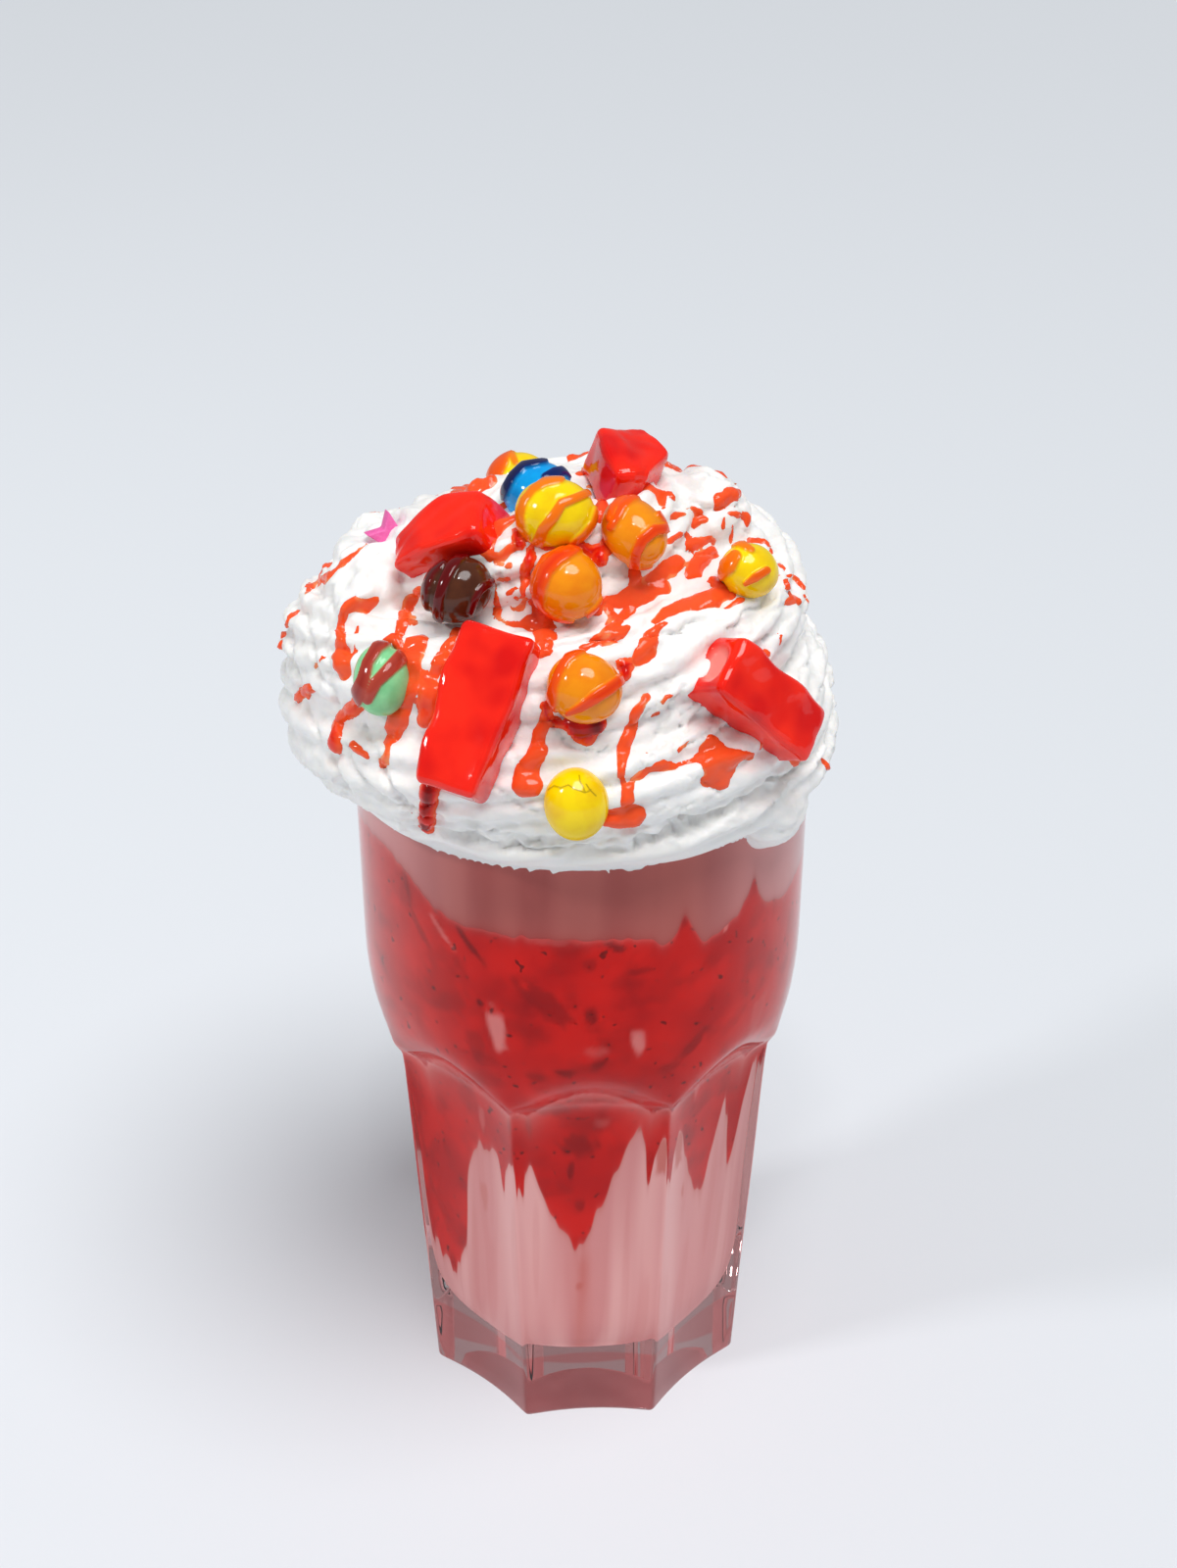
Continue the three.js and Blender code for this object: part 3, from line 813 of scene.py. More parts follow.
@dataclass
class Studio:
    """The camera, the soft lights and the floor."""

    photo_width: int = 1201
    photo_height: int = 1600
    camera_place: Vector = field(default_factory=lambda: Vector((1.3 * MM, -342 * MM, 310 * MM)))
    camera_tilt: float = 62.8  # degrees from straight down
    focal_pixels: float = 2000.0
    sensor: float = 36.0
    floor_size: float = 6.0
    floor_drop: float = 0.2 * MM  # the glass stands on the bead round its foot, with air under it

    def build(self) -> None:
        """Makes the camera, the lights and the floor."""
        self.camera()
        self.lights()
        self.floor()
        view = bpy.context.scene.view_settings
        view.view_transform = "Standard"
        log.info("studio: camera, lights and floor")

    def camera(self) -> None:
        """Stands the camera where the photo was taken from."""
        deselect()
        turn = (math.radians(self.camera_tilt), 0, 0)
        bpy.ops.object.camera_add(location=self.camera_place, rotation=turn)
        camera = bpy.context.object
        camera.name = "camera"
        camera.data.sensor_fit = "VERTICAL"
        camera.data.sensor_height = self.sensor
        camera.data.lens = self.focal_pixels / self.photo_height * self.sensor
        camera.data.dof.use_dof = False
        bpy.context.scene.camera = camera

    def lamp(self, name: str, azimuth: float, elevation: float, reach: float, size: float,
             power: float) -> None:
        """Adds a square soft lamp that faces the cream.

        Args:
            name: The lamp's name.
            azimuth: Where it stands, in degrees from the front.
            elevation: How high, in degrees.
            reach: Its distance in metres.
            size: Its width in metres.
            power: Its power in watts.
        """
        middle = Vector((0, 0, 120 * MM))
        outward = Vector(directions(np.array(azimuth), np.array(elevation)))
        turn = outward.to_track_quat("Z", "Y").to_euler()
        deselect()
        bpy.ops.object.light_add(type="AREA", location=middle + outward * reach, rotation=turn)
        lamp = bpy.context.object
        lamp.name = name
        lamp.data.size = size
        lamp.data.energy = power

    def canopy(self, azimuth: float, elevation: float, spread: float, strength: float) -> None:
        """Hangs a wide canopy of light far off, which lights the whole floor evenly.

        Args:
            azimuth: Where its middle is, in degrees from the front.
            elevation: How high its middle is, in degrees.
            spread: How wide it looks from the glass, in degrees.
            strength: How brightly it lights what faces it.
        """
        outward = Vector(directions(np.array(azimuth), np.array(elevation)))
        deselect()
        bpy.ops.object.light_add(type="SUN", rotation=outward.to_track_quat("Z", "Y").to_euler())
        lamp = bpy.context.object
        lamp.name = "canopy"
        lamp.data.angle = math.radians(spread)
        lamp.data.energy = strength

    def lights(self) -> None:
        """A wide canopy overhead, two small soft boxes that show as highlights, and a pale room."""
        self.canopy(azimuth=38, elevation=69, spread=34, strength=2.17)
        self.lamp("soft_box_front", azimuth=-6, elevation=62, reach=1.7, size=0.15, power=3.0)
        self.lamp("soft_box_side", azimuth=-68, elevation=36, reach=1.7, size=0.2, power=6.4)
        world = bpy.data.worlds.new("room")
        bpy.context.scene.world = world
        world.use_nodes = True
        sky = world.node_tree.nodes["Background"]
        sky.inputs["Color"].default_value = (0.95, 0.97, 1.0, 1.0)
        sky.inputs["Strength"].default_value = 0.27

    def floor(self) -> None:
        """A sheet of pale paper, far wider than the view."""
        deselect()
        bpy.ops.mesh.primitive_plane_add(size=self.floor_size, location=(0, 0, -self.floor_drop))
        floor = added("floor")
        floor.data.materials.append(StudioPaper().material())

    def turn(self) -> Matrix:
        """How the camera is turned from looking straight down."""
        return Matrix.Rotation(math.radians(self.camera_tilt), 3, "X")

    def ray(self, x: float, y: float) -> tuple[Vector, Vector]:
        """The ray of sight through a pixel of the photo.

        Args:
            x: Pixels from the left.
            y: Pixels from the top.

        Returns:
            The camera's place and the direction.
        """
        across = (x - self.photo_width / 2) / self.focal_pixels
        down = (y - self.photo_height / 2) / self.focal_pixels
        return self.camera_place, (self.turn() @ Vector((across, -down, -1.0))).normalized()

    def pixels(self, points: Array) -> Array:
        """Where points of the frame are in the photo, in pixels, one row each."""
        seen = (np.asarray(points) - np.array(self.camera_place)) @ np.array(self.turn())
        ahead = -seen[..., 2:]
        middle = np.array((self.photo_width, self.photo_height)) / 2
        return middle + seen[..., :2] * (1, -1) / ahead * self.focal_pixels

    def front_pixels(self, points: Array, centre: Array) -> tuple[Array, Array]:
        """Where points of a piece are in the photo, its far side mirrored on to its near side.

        Args:
            points: Points of the frame, one row each.
            centre: The middle of the piece.

        Returns:
            Places in pixels, and how far each point lies towards the camera from the centre.
        """
        sight = unit(np.array(self.camera_place) - centre)
        toward = (points - centre) @ sight
        return self.pixels(points + sight * (np.abs(toward) - toward)[:, None]), toward


# ---------------------------------------------------------------- the tumbler


@dataclass
class Tumbler:
    """The glass: a round blank whose lower half is ground with eight hollow flutes."""

    height: float = 144 * MM
    foot_radius: float = 36.5 * MM
    rim_radius: float = 44 * MM
    rim_wall: float = 2.5 * MM
    lip_height: float = 1.6 * MM
    floor_height: float = 14 * MM
    floor_radius: float = 21 * MM
    flutes: int = 8
    flute_turn: float = 2.7  # degrees: the front flute looks slightly to the right
    flute_axis: float = 91.4 * MM
    corner_rounding: float = 0.35 * MM
    arch_rounding: float = 0.9 * MM
    ledge_height: float = 82 * MM
    ledge_rise: float = 6 * MM  # how tall the ledge's own rows are
    arch_limit: float = 102 * MM  # no flute reaches higher
    level_height: float = 116 * MM  # above this the arches no longer bend the rows
    columns_per_flute: int = 44
    crowding: float = 0.11  # how far the columns are drawn to the corners, in flutes

    def __post_init__(self) -> None:
        """Draws the outlines that the wall, the flutes and the hollow follow."""
        lip = self.height - self.lip_height
        self.outer = Curve([
            (0, self.foot_radius), (60 * MM, 40.2 * MM), (78 * MM, 41.1 * MM), (86 * MM, 41.8 * MM),
            (95 * MM, 43.3 * MM), (104 * MM, 43.9 * MM), (lip, self.rim_radius)])
        self.inner = Curve([
            (self.floor_height, self.floor_radius), (15.2 * MM, 24.6 * MM), (18.5 * MM, 26.6 * MM),
            (24 * MM, 27.6 * MM), (45 * MM, 28.8 * MM), (64 * MM, 30.4 * MM), (78 * MM, 32.4 * MM),
            (88 * MM, 35.8 * MM), (98 * MM, 39.4 * MM), (112 * MM, 41.2 * MM),
            (lip, self.rim_radius - self.rim_wall)])
        self.flute_round = Curve([
            (0, 60.35 * MM), (22 * MM, 59.4 * MM), (50 * MM, 58 * MM), (72 * MM, 57 * MM),
            (self.ledge_height, 56.4 * MM), (86.3 * MM, 53.4 * MM), (90.5 * MM, 50.4 * MM),
            (102.6 * MM, 42 * MM)])

    def flute_depth(self, offset: Array, height: Array) -> Array:
        """How far out a flute's hollow lies.

        Args:
            offset: Degrees from the middle of the flute.
            height: Heights in metres.

        Returns:
            Distances from the axis of the glass.
        """
        a = np.radians(offset)
        inside = self.flute_round(height) ** 2 - (self.flute_axis * np.sin(a)) ** 2
        return np.where(inside > 0, self.flute_axis * np.cos(a) - np.sqrt(np.maximum(inside, 0)), 1.0)

    def flute_offset(self, azimuth: Array) -> Array:
        """Degrees from the middle of the nearest flute."""
        span = 360 / self.flutes
        return np.abs((azimuth - self.flute_turn + span / 2) % span - span / 2)

    def outside(self, azimuth: Array, height: Array) -> Array:
        """The outer surface's distance from the axis.

        Args:
            azimuth: Azimuths in degrees.
            height: Heights in metres.

        Returns:
            Distances in metres.
        """
        offset = self.flute_offset(azimuth)
        near = self.flute_depth(offset, height)
        far = self.flute_depth(360 / self.flutes - offset, height)
        fluted = soft_min(near, far, self.corner_rounding)
        return soft_min(fluted, self.outer(height), self.arch_rounding)

    def arch_height(self, azimuth: Array) -> Array:
        """The height where a flute's ledge runs out at the round wall."""
        offset = self.flute_offset(azimuth)
        low = np.full(offset.shape, self.ledge_height)
        high = np.full(offset.shape, self.arch_limit)
        for _ in range(30):
            middle = (low + high) / 2
            cut = self.flute_depth(offset, middle) < self.outer(middle)
            low, high = np.where(cut, middle, low), np.where(cut, high, middle)
        return low

    def chain(self) -> list[Pair]:
        """The outline of half the glass, from under the foot round the rim to the floor inside."""
        arch = self.ledge_height + self.ledge_rise
        foot = [(0, 0), (12, 0), (24, 0), (33, 0), (35.5, 0), (36.1, 0.2), (36.4, 0.6)]
        points = [(r * MM, z * MM) for r, z in foot]
        face = [1.2 * MM, *np.linspace(5 * MM, self.ledge_height - 8 * MM, 15)]
        ledge = [self.ledge_height + step * MM for step in (-4, -1.5, 0, 1.5, 3, 4.2, 5, 5.6)]
        above = [arch + step * MM for step in (0, 0.4, 0.9, 1.7, 3, 5, 8, 12, 17, 22)]
        wall = list(np.linspace(self.level_height, self.height - self.lip_height, 9))
        points += [(float(self.outer(z)), z) for z in (*face, *ledge, *above, *wall)]
        middle, half = self.rim_radius - self.rim_wall / 2, self.rim_wall / 2
        lip = self.height - self.lip_height
        for turn in np.linspace(0, math.pi, 9)[1:-1]:
            points.append((middle + half * math.cos(turn), lip + self.lip_height * math.sin(turn)))
        hollow = [*np.linspace(lip, 30 * MM, 34), 24 * MM, 21 * MM, 18.5 * MM, 17 * MM, 16 * MM, 15.2 * MM,
                  14.6 * MM, 14.2 * MM, self.floor_height]
        points += [(float(self.inner(z)), z) for z in hollow]
        return points + [(12 * MM, self.floor_height), (0, self.floor_height)]

    def build(self) -> None:
        """Spins the blank, then moves its outer vertices on to the flutes."""
        columns = self.flutes * self.columns_per_flute
        glass = spin_chain("tumbler", self.chain(), columns)
        points = points_of(glass)
        reach, height = np.hypot(points[:, 0], points[:, 1]), points[:, 2]
        azimuth = self.gathered(azimuth_of(points))
        outer = (reach > self.inner(height) + MM) & (height < self.height - self.lip_height + 1e-6)
        outer |= height < self.floor_height - MM
        arch = self.arch_height(azimuth)
        ledge, level = self.ledge_height, self.level_height
        flat = ledge + self.ledge_rise
        moved = np.where(height > flat, arch + (height - flat) * (level - arch) / (level - flat),
                         ledge + (height - ledge) * (arch - ledge) / (flat - ledge))
        moved = np.where((height > ledge) & (height < level), moved, height)
        share = reach / self.outer(height)
        fluted = self.outside(azimuth, moved)
        height = np.where(outer, moved, height)
        reach = np.where(outer, fluted * share, reach)
        move_points(glass, round_axis(azimuth, reach, height))
        shade_smooth(glass)
        finish_piece(glass, ClearGlass(), "glass", "glass")
        glass.visible_shadow = False
        glass.visible_diffuse = False

    def gathered(self, azimuth: Array) -> Array:
        """Azimuths drawn towards the corners between flutes, so that rounding has more columns."""
        span = 360 / self.flutes
        turned = (azimuth - self.flute_turn) / span
        whole = np.floor(turned + 0.5)
        part = turned - whole
        eased = part + self.crowding * np.sin(2 * math.pi * part)
        return (whole + eased) * span + self.flute_turn


# ---------------------------------------------------------------- the drink


@dataclass(frozen=True)
class Mark:
    """A darker or paler place in the drink as the photo shows it, in the photo's pixels and degrees."""

    x: float
    y: float
    wide: float
    tall: float
    turn: float  # how far its long side falls to the right
    amount: float


# Painted highlights, reflections of lamps in the glass, and streaks of milk over the sauce.
PALE_MARKS = tuple(Mark(*place) for place in (
    (503, 1057, 20, 50, -4, 0.85), (655, 1070, 15, 28, -14, 0.8), (446, 953, 44, 6, 42, 0.5),
    (745, 947, 7, 12, 0, 0.7), (560, 965, 60, 9, 0, 0.22), (610, 1080, 30, 12, 0, 0.2),
    (780, 1035, 30, 60, 20, 0.25), (410, 1040, 60, 20, 40, 0.25), (620, 1170, 30, 12, 0, 0.2),
    (470, 1160, 14, 30, 0, 0.3), (734, 1125, 10, 30, 0, 0.45),
))
# Clots and folds in the sauce.
DARK_MARKS = tuple(Mark(*place) for place in (
    (556, 1030, 76, 26, 32, 0.55), (486, 1027, 9, 9, 0, 1.0), (604, 1042, 14, 20, -20, 0.8),
    (630, 970, 26, 8, 22, 0.9), (602, 988, 16, 14, 0, 0.5), (655, 995, 34, 7, 0, 0.5),
    (575, 1102, 26, 9, 0, 0.8), (612, 1093, 20, 8, -25, 0.8), (542, 1106, 24, 10, 0, 0.45),
    (437, 915, 14, 40, -18, 0.6), (411, 905, 8, 34, -14, 0.7), (476, 968, 50, 7, 44, 0.9),
    (425, 952, 46, 9, 48, 0.5), (700, 942, 14, 16, 0, 0.5), (480, 1072, 22, 40, 0, 0.4),
    (712, 1072, 50, 14, -38, 0.55), (450, 1010, 60, 70, 20, 0.35), (590, 1195, 60, 30, 0, 0.7),
    (577, 1222, 12, 24, 10, 0.8), (590, 1258, 18, 16, 0, 0.6), (690, 1095, 34, 16, -20, 0.35),
    (560, 1150, 60, 24, 0, 0.5), (610, 1137, 60, 12, 0, 0.5), (520, 1165, 10, 30, 0, 0.5),
))
# Sauce that has run into the lower milk.
STAIN_MARKS = tuple(Mark(*place) for place in (
    (590, 1340, 20, 12, -30, 0.7), (705, 1190, 26, 60, 0, 0.75), (716, 1235, 8, 20, 0, 0.5),
    (672, 1165, 20, 24, 0, 0.9), (470, 1240, 20, 40, 0, 0.4),
))


# The borders of the sauce at the wall: azimuths in degrees and heights in millimetres.
SAUCE_TOP_BORDER: tuple[Pair, ...] = (
    (-180, 127), (-150, 125), (-120, 128), (-95, 131), (-75, 133), (-62, 133.5), (-52, 132), (-46, 129.5),
    (-40, 126.5), (-34, 124.8), (-28, 124.4), (0, 124.6), (16, 124), (21, 122), (24, 124), (26, 127.4),
    (28.5, 124), (32, 120.6), (37, 121.7), (42, 123.5), (46, 127), (48, 129.6), (50, 126), (52, 123.5),
    (62, 120.8), (75, 123), (92, 126), (115, 129), (140, 131),
)
SAUCE_BOTTOM_BORDER: tuple[Pair, ...] = (
    (-170, 60), (-162, 70), (-155, 62), (-148, 48), (-140, 39), (-134, 42), (-126, 55), (-118, 66),
    (-110, 62), (-102, 50), (-94, 36), (-86, 28), (-79, 30), (-74, 26), (-69, 28), (-65, 25), (-61, 26),
    (-57, 31), (-53, 35), (-50, 43), (-48, 52), (-45, 60), (-41, 64), (-38, 67), (-34, 66), (-30, 68),
    (-27, 64), (-25, 57), (-23.5, 63), (-21, 66), (-17, 60), (-12, 52), (-7, 48), (-2, 44.5), (1, 46),
    (5, 53), (8, 56), (11, 61), (14, 66), (18, 73), (21, 75), (24, 70), (27, 60), (29, 68), (32, 72),
    (36, 66), (39, 61), (42, 56), (46, 52), (50, 52), (54, 58), (57, 65), (60, 71), (64, 66), (67, 57),
    (70, 52), (73, 55), (78, 66), (84, 75), (95, 70), (104, 56), (113, 44), (120, 42), (127, 52),
    (136, 68), (145, 74), (154, 66), (163, 56), (176, 55),
)


@dataclass
class Drink:
    """The three layers that fill the glass, each reaching just into its wall."""

    studio: Studio
    tumbler: Tumbler
    pixel: float = 0.19 * MM  # what a pixel of the photo spans at the wall
    wall_reach: float = 0.3 * MM
    sauce_reach: float = 0.36 * MM
    top: float = 138 * MM
    meniscus: float = 3.4 * MM
    columns: int = 540
    jag: float = 0.7 * MM
    # the pale band behind each ledge is a painted highlight of the glass
    ledge_shift: float = 4.6 * MM  # how far below an arch its pale band shows
    ledge_glow: float = 0.72  # how pale that band is
    ledge_fade: float = 3.6 * MM
    wall_slope: float = 0.89  # how much of the wall's height the photo shows, seen from above

    def __post_init__(self) -> None:
        """Draws the borders of the sauce round the wall."""
        self.sauce_top, self.sauce_bottom = (
            Curve([(azimuth, height * MM) for azimuth, height in border], 360)
            for border in (SAUCE_TOP_BORDER, SAUCE_BOTTOM_BORDER))
        self.ragged = Ripple(3.2, 5)

    def jagged(self, azimuth: Array, seed: float) -> Array:
        """The small ragged steps of a border round the wall, in metres."""
        ring = np.stack([azimuth, 0 * azimuth + seed, 0 * azimuth], -1)
        return self.ragged(ring) * self.jag

    def bottom_at(self, azimuth: Array) -> Array:
        """Height of the sauce's lower border at the wall."""
        return self.sauce_bottom(azimuth) + self.jagged(azimuth, 0)

    def top_at(self, azimuth: Array) -> Array:
        """Height of the sauce's upper border at the wall."""
        return self.sauce_top(azimuth) + self.jagged(azimuth, 40) * 0.35

    def wall_spot(self, x: float, y: float) -> Pair:
        """Where the ray of sight through a pixel meets the glass.

        Args:
            x: Pixels from the left.
            y: Pixels from the top.

        Returns:
            The azimuth in degrees and the height in metres.
        """
        eye, sight = (np.array(vector) for vector in self.studio.ray(x, y))
        reach, azimuth, height = self.tumbler.rim_radius, 0.0, 100 * MM
        for _ in range(12):
            a, b = sight[:2] @ sight[:2], eye[:2] @ sight[:2]
            c = eye[:2] @ eye[:2] - reach ** 2
            far = (-b - math.sqrt(max(b * b - a * c, 0))) / a
            met = eye + sight * far
            azimuth, height = float(azimuth_of(met)), float(met[2])
            reach = (reach + float(self.tumbler.outer(height))) / 2
        return azimuth, height

    def marked(self, azimuth: Array, height: Array, marks: Sequence[Mark]) -> Array:
        """How strongly marks show at points of the wall.

        Args:
            azimuth: Azimuths in degrees.
            height: Heights in metres.
            marks: The marks.

        Returns:
            Shares from 0 to 1.
        """
        share = np.zeros(len(azimuth))
        for mark in marks:
            middle, level = self.wall_spot(mark.x, mark.y)
            right = np.radians(turn_between(azimuth, middle)) * self.tumbler.rim_radius / self.pixel
            down = (level - height) / self.pixel * self.wall_slope
            turn = math.radians(mark.turn)
            along = right * math.cos(turn) + down * math.sin(turn)
            aside = down * math.cos(turn) - right * math.sin(turn)
            away = np.hypot(along / mark.wide, aside / mark.tall) * 2
            away += 0.22 * Ripple(14, 31)(np.stack([right, down, 0 * down], -1))
            share = np.maximum(share, mark.amount * (1 - smoothstep(away, 0.55, 1.25)))
        return share

    def painted_ledge_highlight(self, azimuth: Array, height: Array) -> Array:
        """A painted highlight: how pale the drink is painted behind the ledges of the flutes, where the
        glass catches light.
        """
        below = self.tumbler.arch_height(azimuth) - self.ledge_shift - height
        glow = self.ledge_glow * fading(below, self.ledge_fade)
        return np.where(below > 0, glow, 0)

    def layer(self, name: str, low: Callable[[Array], Array], high: Callable[[Array], Array],
              rows: int, reach: float) -> Piece:
        """A slab between two borders that fills the glass to its wall.

        Args:
            name: The piece's name.
            low: Height of its lower border at the wall for each azimuth.
            high: Height of its upper border at the wall.
            rows: Rows of faces up the wall.
            reach: How far it goes into the glass.

        Returns:
            The slab.
        """
        rings = (0.0, 0.35, 0.7, 0.88, 0.97)
        chain = [(ring, 0.0) for ring in rings]
        chain += [(1.0, share) for share in np.linspace(0, 1, rows + 1)]
        chain += [(ring, 1.0) for ring in reversed(rings)]
        slab = spin_chain(name, chain, self.columns)
        points = points_of(slab)
        ring, share = np.hypot(points[:, 0], points[:, 1]), points[:, 2]
        azimuth = azimuth_of(points)
        around = np.linspace(-180, 180, 73)
        ends = []
        for edge in (low, high):
            middle = float(np.mean(edge(around)))
            ends.append(middle + (edge(azimuth) - middle) * np.minimum(ring, 1) ** 4)
        height = ends[0] + (ends[1] - ends[0]) * share
        wall = self.tumbler.inner(height) + reach
        move_points(slab, round_axis(azimuth, wall * ring, height))
        shade_smooth(slab, 60)
        return slab

    def lower_milk(self) -> None:
        """The pale pink milkshake, from the floor of the glass up behind the sauce."""
        floor = self.tumbler.floor_height - self.wall_reach
        milk = self.layer("milk_lower_fill", lambda a: floor + 0 * a, lambda a: self.bottom_at(a) + 2 * MM,
                          90, self.wall_reach)
        points = points_of(milk)
        azimuth = azimuth_of(points)
        below = self.bottom_at(azimuth) - points[:, 2]
        smear = Ripple(9, 3)(np.stack([azimuth, points[:, 2] / (4 * MM), 0 * azimuth], -1))
        stain = 0.45 * fading(below, 1.4 * MM)
        trail = np.exp(-(turn_between(azimuth, -1.5) / 4) ** 2)
        trail = trail * smoothstep(-points[:, 2], -46 * MM, -38 * MM)
        stain += 0.55 * trail * (0.75 + 0.25 * smear)
        stain += 0.12 * smoothstep(smear, 0.2, 0.9)
        stain = np.maximum(stain, self.marked(azimuth, points[:, 2], STAIN_MARKS))
        paint(milk, "stain", np.clip(stain, 0, 1))
        # painted sheen: the glass's reflection pales the milk towards the sides
        paint(milk, "side", 0.5 * smoothstep(np.abs(turn_between(azimuth, 0)), 40, 75))
        finish = Milk("milk_pale", pale=srgb(236, 172, 169), deep=srgb(220, 144, 142),
                      stain=srgb(200, 92, 80), side=srgb(226, 156, 155))
        finish_piece(milk, finish, "milk", "milk_lower")

    def sauce(self) -> None:
        """The strawberry sauce, with dark clots, pale with milk where it is thin, and paled by painted
        sheen and highlights of the glass at the sides, behind the ledges and at lamp reflections.
        """
        sauce = self.layer("strawberry_sauce_fill", self.bottom_at, self.top_at, 90, self.sauce_reach)
        points = points_of(sauce)
        azimuth, height = azimuth_of(points), points[:, 2]
        from_edge = np.minimum(height - self.bottom_at(azimuth), self.top_at(azimuth) - height)
        milk_and_sheen = 0.3 * fading(from_edge, 0.7 * MM)
        # painted sheen: the glass's reflection pales the sauce towards the sides
        sides = 0.34 * smoothstep(np.abs(turn_between(azimuth, 4)), 28, 84)
        milk_and_sheen += sides * smoothstep(height, 66 * MM, 84 * MM)
        # painted highlight where the glass ledges catch light
        milk_and_sheen += self.painted_ledge_highlight(azimuth, height)
        pale = self.marked(azimuth, height, PALE_MARKS)
        dark = self.marked(azimuth, height, DARK_MARKS)
        paint(sauce, "milk_and_sheen", np.clip(np.maximum(milk_and_sheen, pale), 0, 1))
        paint(sauce, "dark", dark)
        finish_piece(sauce, Sauce(), "strawberry_sauce", "strawberry_sauce")

    def upper_milk(self) -> None:
        """The mauve milkshake under the cream, drawn up a little where it meets the wall."""
        def brim(azimuth: Array) -> Array:
            """Height of the milk at the wall, lower where cream has slid in."""
            dip = np.exp(-(turn_between(azimuth, 11) / 9) ** 2) * 2.8 * MM
            return self.top + self.meniscus - dip + self.jagged(azimuth, 90) * 0.5

        milk = self.layer("milk_upper_fill", lambda a: self.top_at(a) - 2 * MM, brim, 30, self.wall_reach)
        points = points_of(milk)
        azimuth = azimuth_of(points)
        above = points[:, 2] - self.top_at(azimuth)
        paint(milk, "stain", 0.45 * fading(above, 1.1 * MM))
        # painted sheen: the glass's reflection pales the milk towards the sides
        paint(milk, "side", 0.8 * smoothstep(np.abs(turn_between(azimuth, 0)), 22, 62))
        finish = Milk("milk_mauve", pale=srgb(184, 100, 94), deep=srgb(170, 86, 82),
                      stain=srgb(170, 48, 44), side=srgb(226, 158, 156))
        finish_piece(milk, finish, "milk_top", "milk_upper")

    def build(self) -> None:
        """Fills the glass from the floor up."""
        self.lower_milk()
        self.sauce()
        self.upper_milk()


# ---------------------------------------------------------------- whipped cream


@dataclass(frozen=True)
class Bulge:
    """A place where the mound is fuller or flatter than round."""

    azimuth: float
    elevation: float
    spread: Pair
    extra: float


@dataclass
class Mound:
    """The form that the ropes of cream are laid over."""

    centre: Array = field(default_factory=lambda: np.array((-3.5, 0, 151)) * MM)
    radius: float = 52.5 * MM
    hem_radius: float = 49.5 * MM
    bulges: tuple[Bulge, ...] = (
        Bulge(-80, 24, (45, 26), 3.8 * MM),
        Bulge(78, 46, (45, 20), 2.4 * MM),
        Bulge(5, 0, (45, 22), 0.8 * MM),
        Bulge(-120, 82, (400, 18), -5.4 * MM),
        Bulge(-135, 54, (60, 17), -6 * MM),
    )

    def reach(self, azimuth: Array, elevation: Array) -> Array:
        """How far the mound reaches from its centre, closing in on the rim low down.

        Args:
            azimuth: Azimuths in degrees.
            elevation: Elevations in degrees.

        Returns:
            Distances in metres.
        """
        dome = self.radius
        for b in self.bulges:
            across = turn_between(azimuth, b.azimuth) / b.spread[0]
            up = (elevation - b.elevation) / b.spread[1]
            dome = dome + b.extra * np.exp(-across ** 2 - up ** 2)
        hem = self.hem_radius - self.centre[0] * np.sin(np.radians(azimuth))
        return hem + (dome - hem) * smoothstep(elevation, -8, 9)

    def place(self, azimuth: Array, elevation: Array, sink: Array) -> Array:
        """Points on the mound, or sunk below it by a distance in metres."""
        azimuth, elevation = np.asarray(azimuth, float), np.asarray(elevation, float)
        out = (self.reach(azimuth, elevation) - sink)[..., None]
        return directions(azimuth, elevation) * out + self.centre


@dataclass
class Rope:
    """A rope of cream from a star nozzle, laid over the mound.

    The route gives azimuth, elevation and radius for each share of the rope's length.
    """

    name: str
    route: Callable[[Array], tuple[Array, Array, Array]]
    ribs: int
    depth: float
    twist: float  # degrees over the whole length
    around: int = 96
    along: int = 420
    seed: int = 1

    def build(self, mound: Mound) -> Piece:
        """Bends a straight tube along the route and draws its ribs.

        Args:
            mound: What the rope lies on.

        Returns:
            The rope as a closed mesh.
        """
        rope = straight_tube(self.name, self.around, self.along)
        points = points_of(rope)
        share = np.clip(points[:, 2], 0, 1)
        around = np.arctan2(points[:, 1], points[:, 0])
        azimuth, elevation, radius = self.route(share)
        middle = mound.place(azimuth, elevation, radius)
        nudge = 0.5 / self.along
        later, sooner = np.minimum(share + nudge, 1), np.maximum(share - nudge, 0)
        a1, e1, _ = self.route(later)
        a0, e0, _ = self.route(sooner)
        ahead = unit(mound.place(a1, e1, radius) - mound.place(a0, e0, radius))
        outward = directions(azimuth, elevation)
        outward = unit(outward - ahead * (outward * ahead).sum(-1, keepdims=True))
        across = np.cross(outward, ahead)
        ring = np.stack([np.cos(around), np.sin(around), share * 30], -1)
        wander = Ripple(2.2, self.seed)(ring)
        fuller = Ripple(2.9, self.seed + 20)(ring)
        rib = np.abs(np.cos((self.ribs * around + 1.0 * wander) / 2)) ** 0.7
        size = radius * (1 - self.depth * (0.72 + 0.3 * fuller) * (1 - rib)) * (1 + 0.04 * wander)
        turned = around + np.radians(self.twist) * share
        out = outward * (size * np.cos(turned))[:, None] + across * (size * np.sin(turned))[:, None]
        move_points(rope, middle + out)
        return rope


@dataclass(frozen=True)
class Crease:
    """A fold in the cream: its line and width in the photo's pixels, and its depth in millimetres."""

    line: tuple[Pair, ...]
    width: float
    depth: float


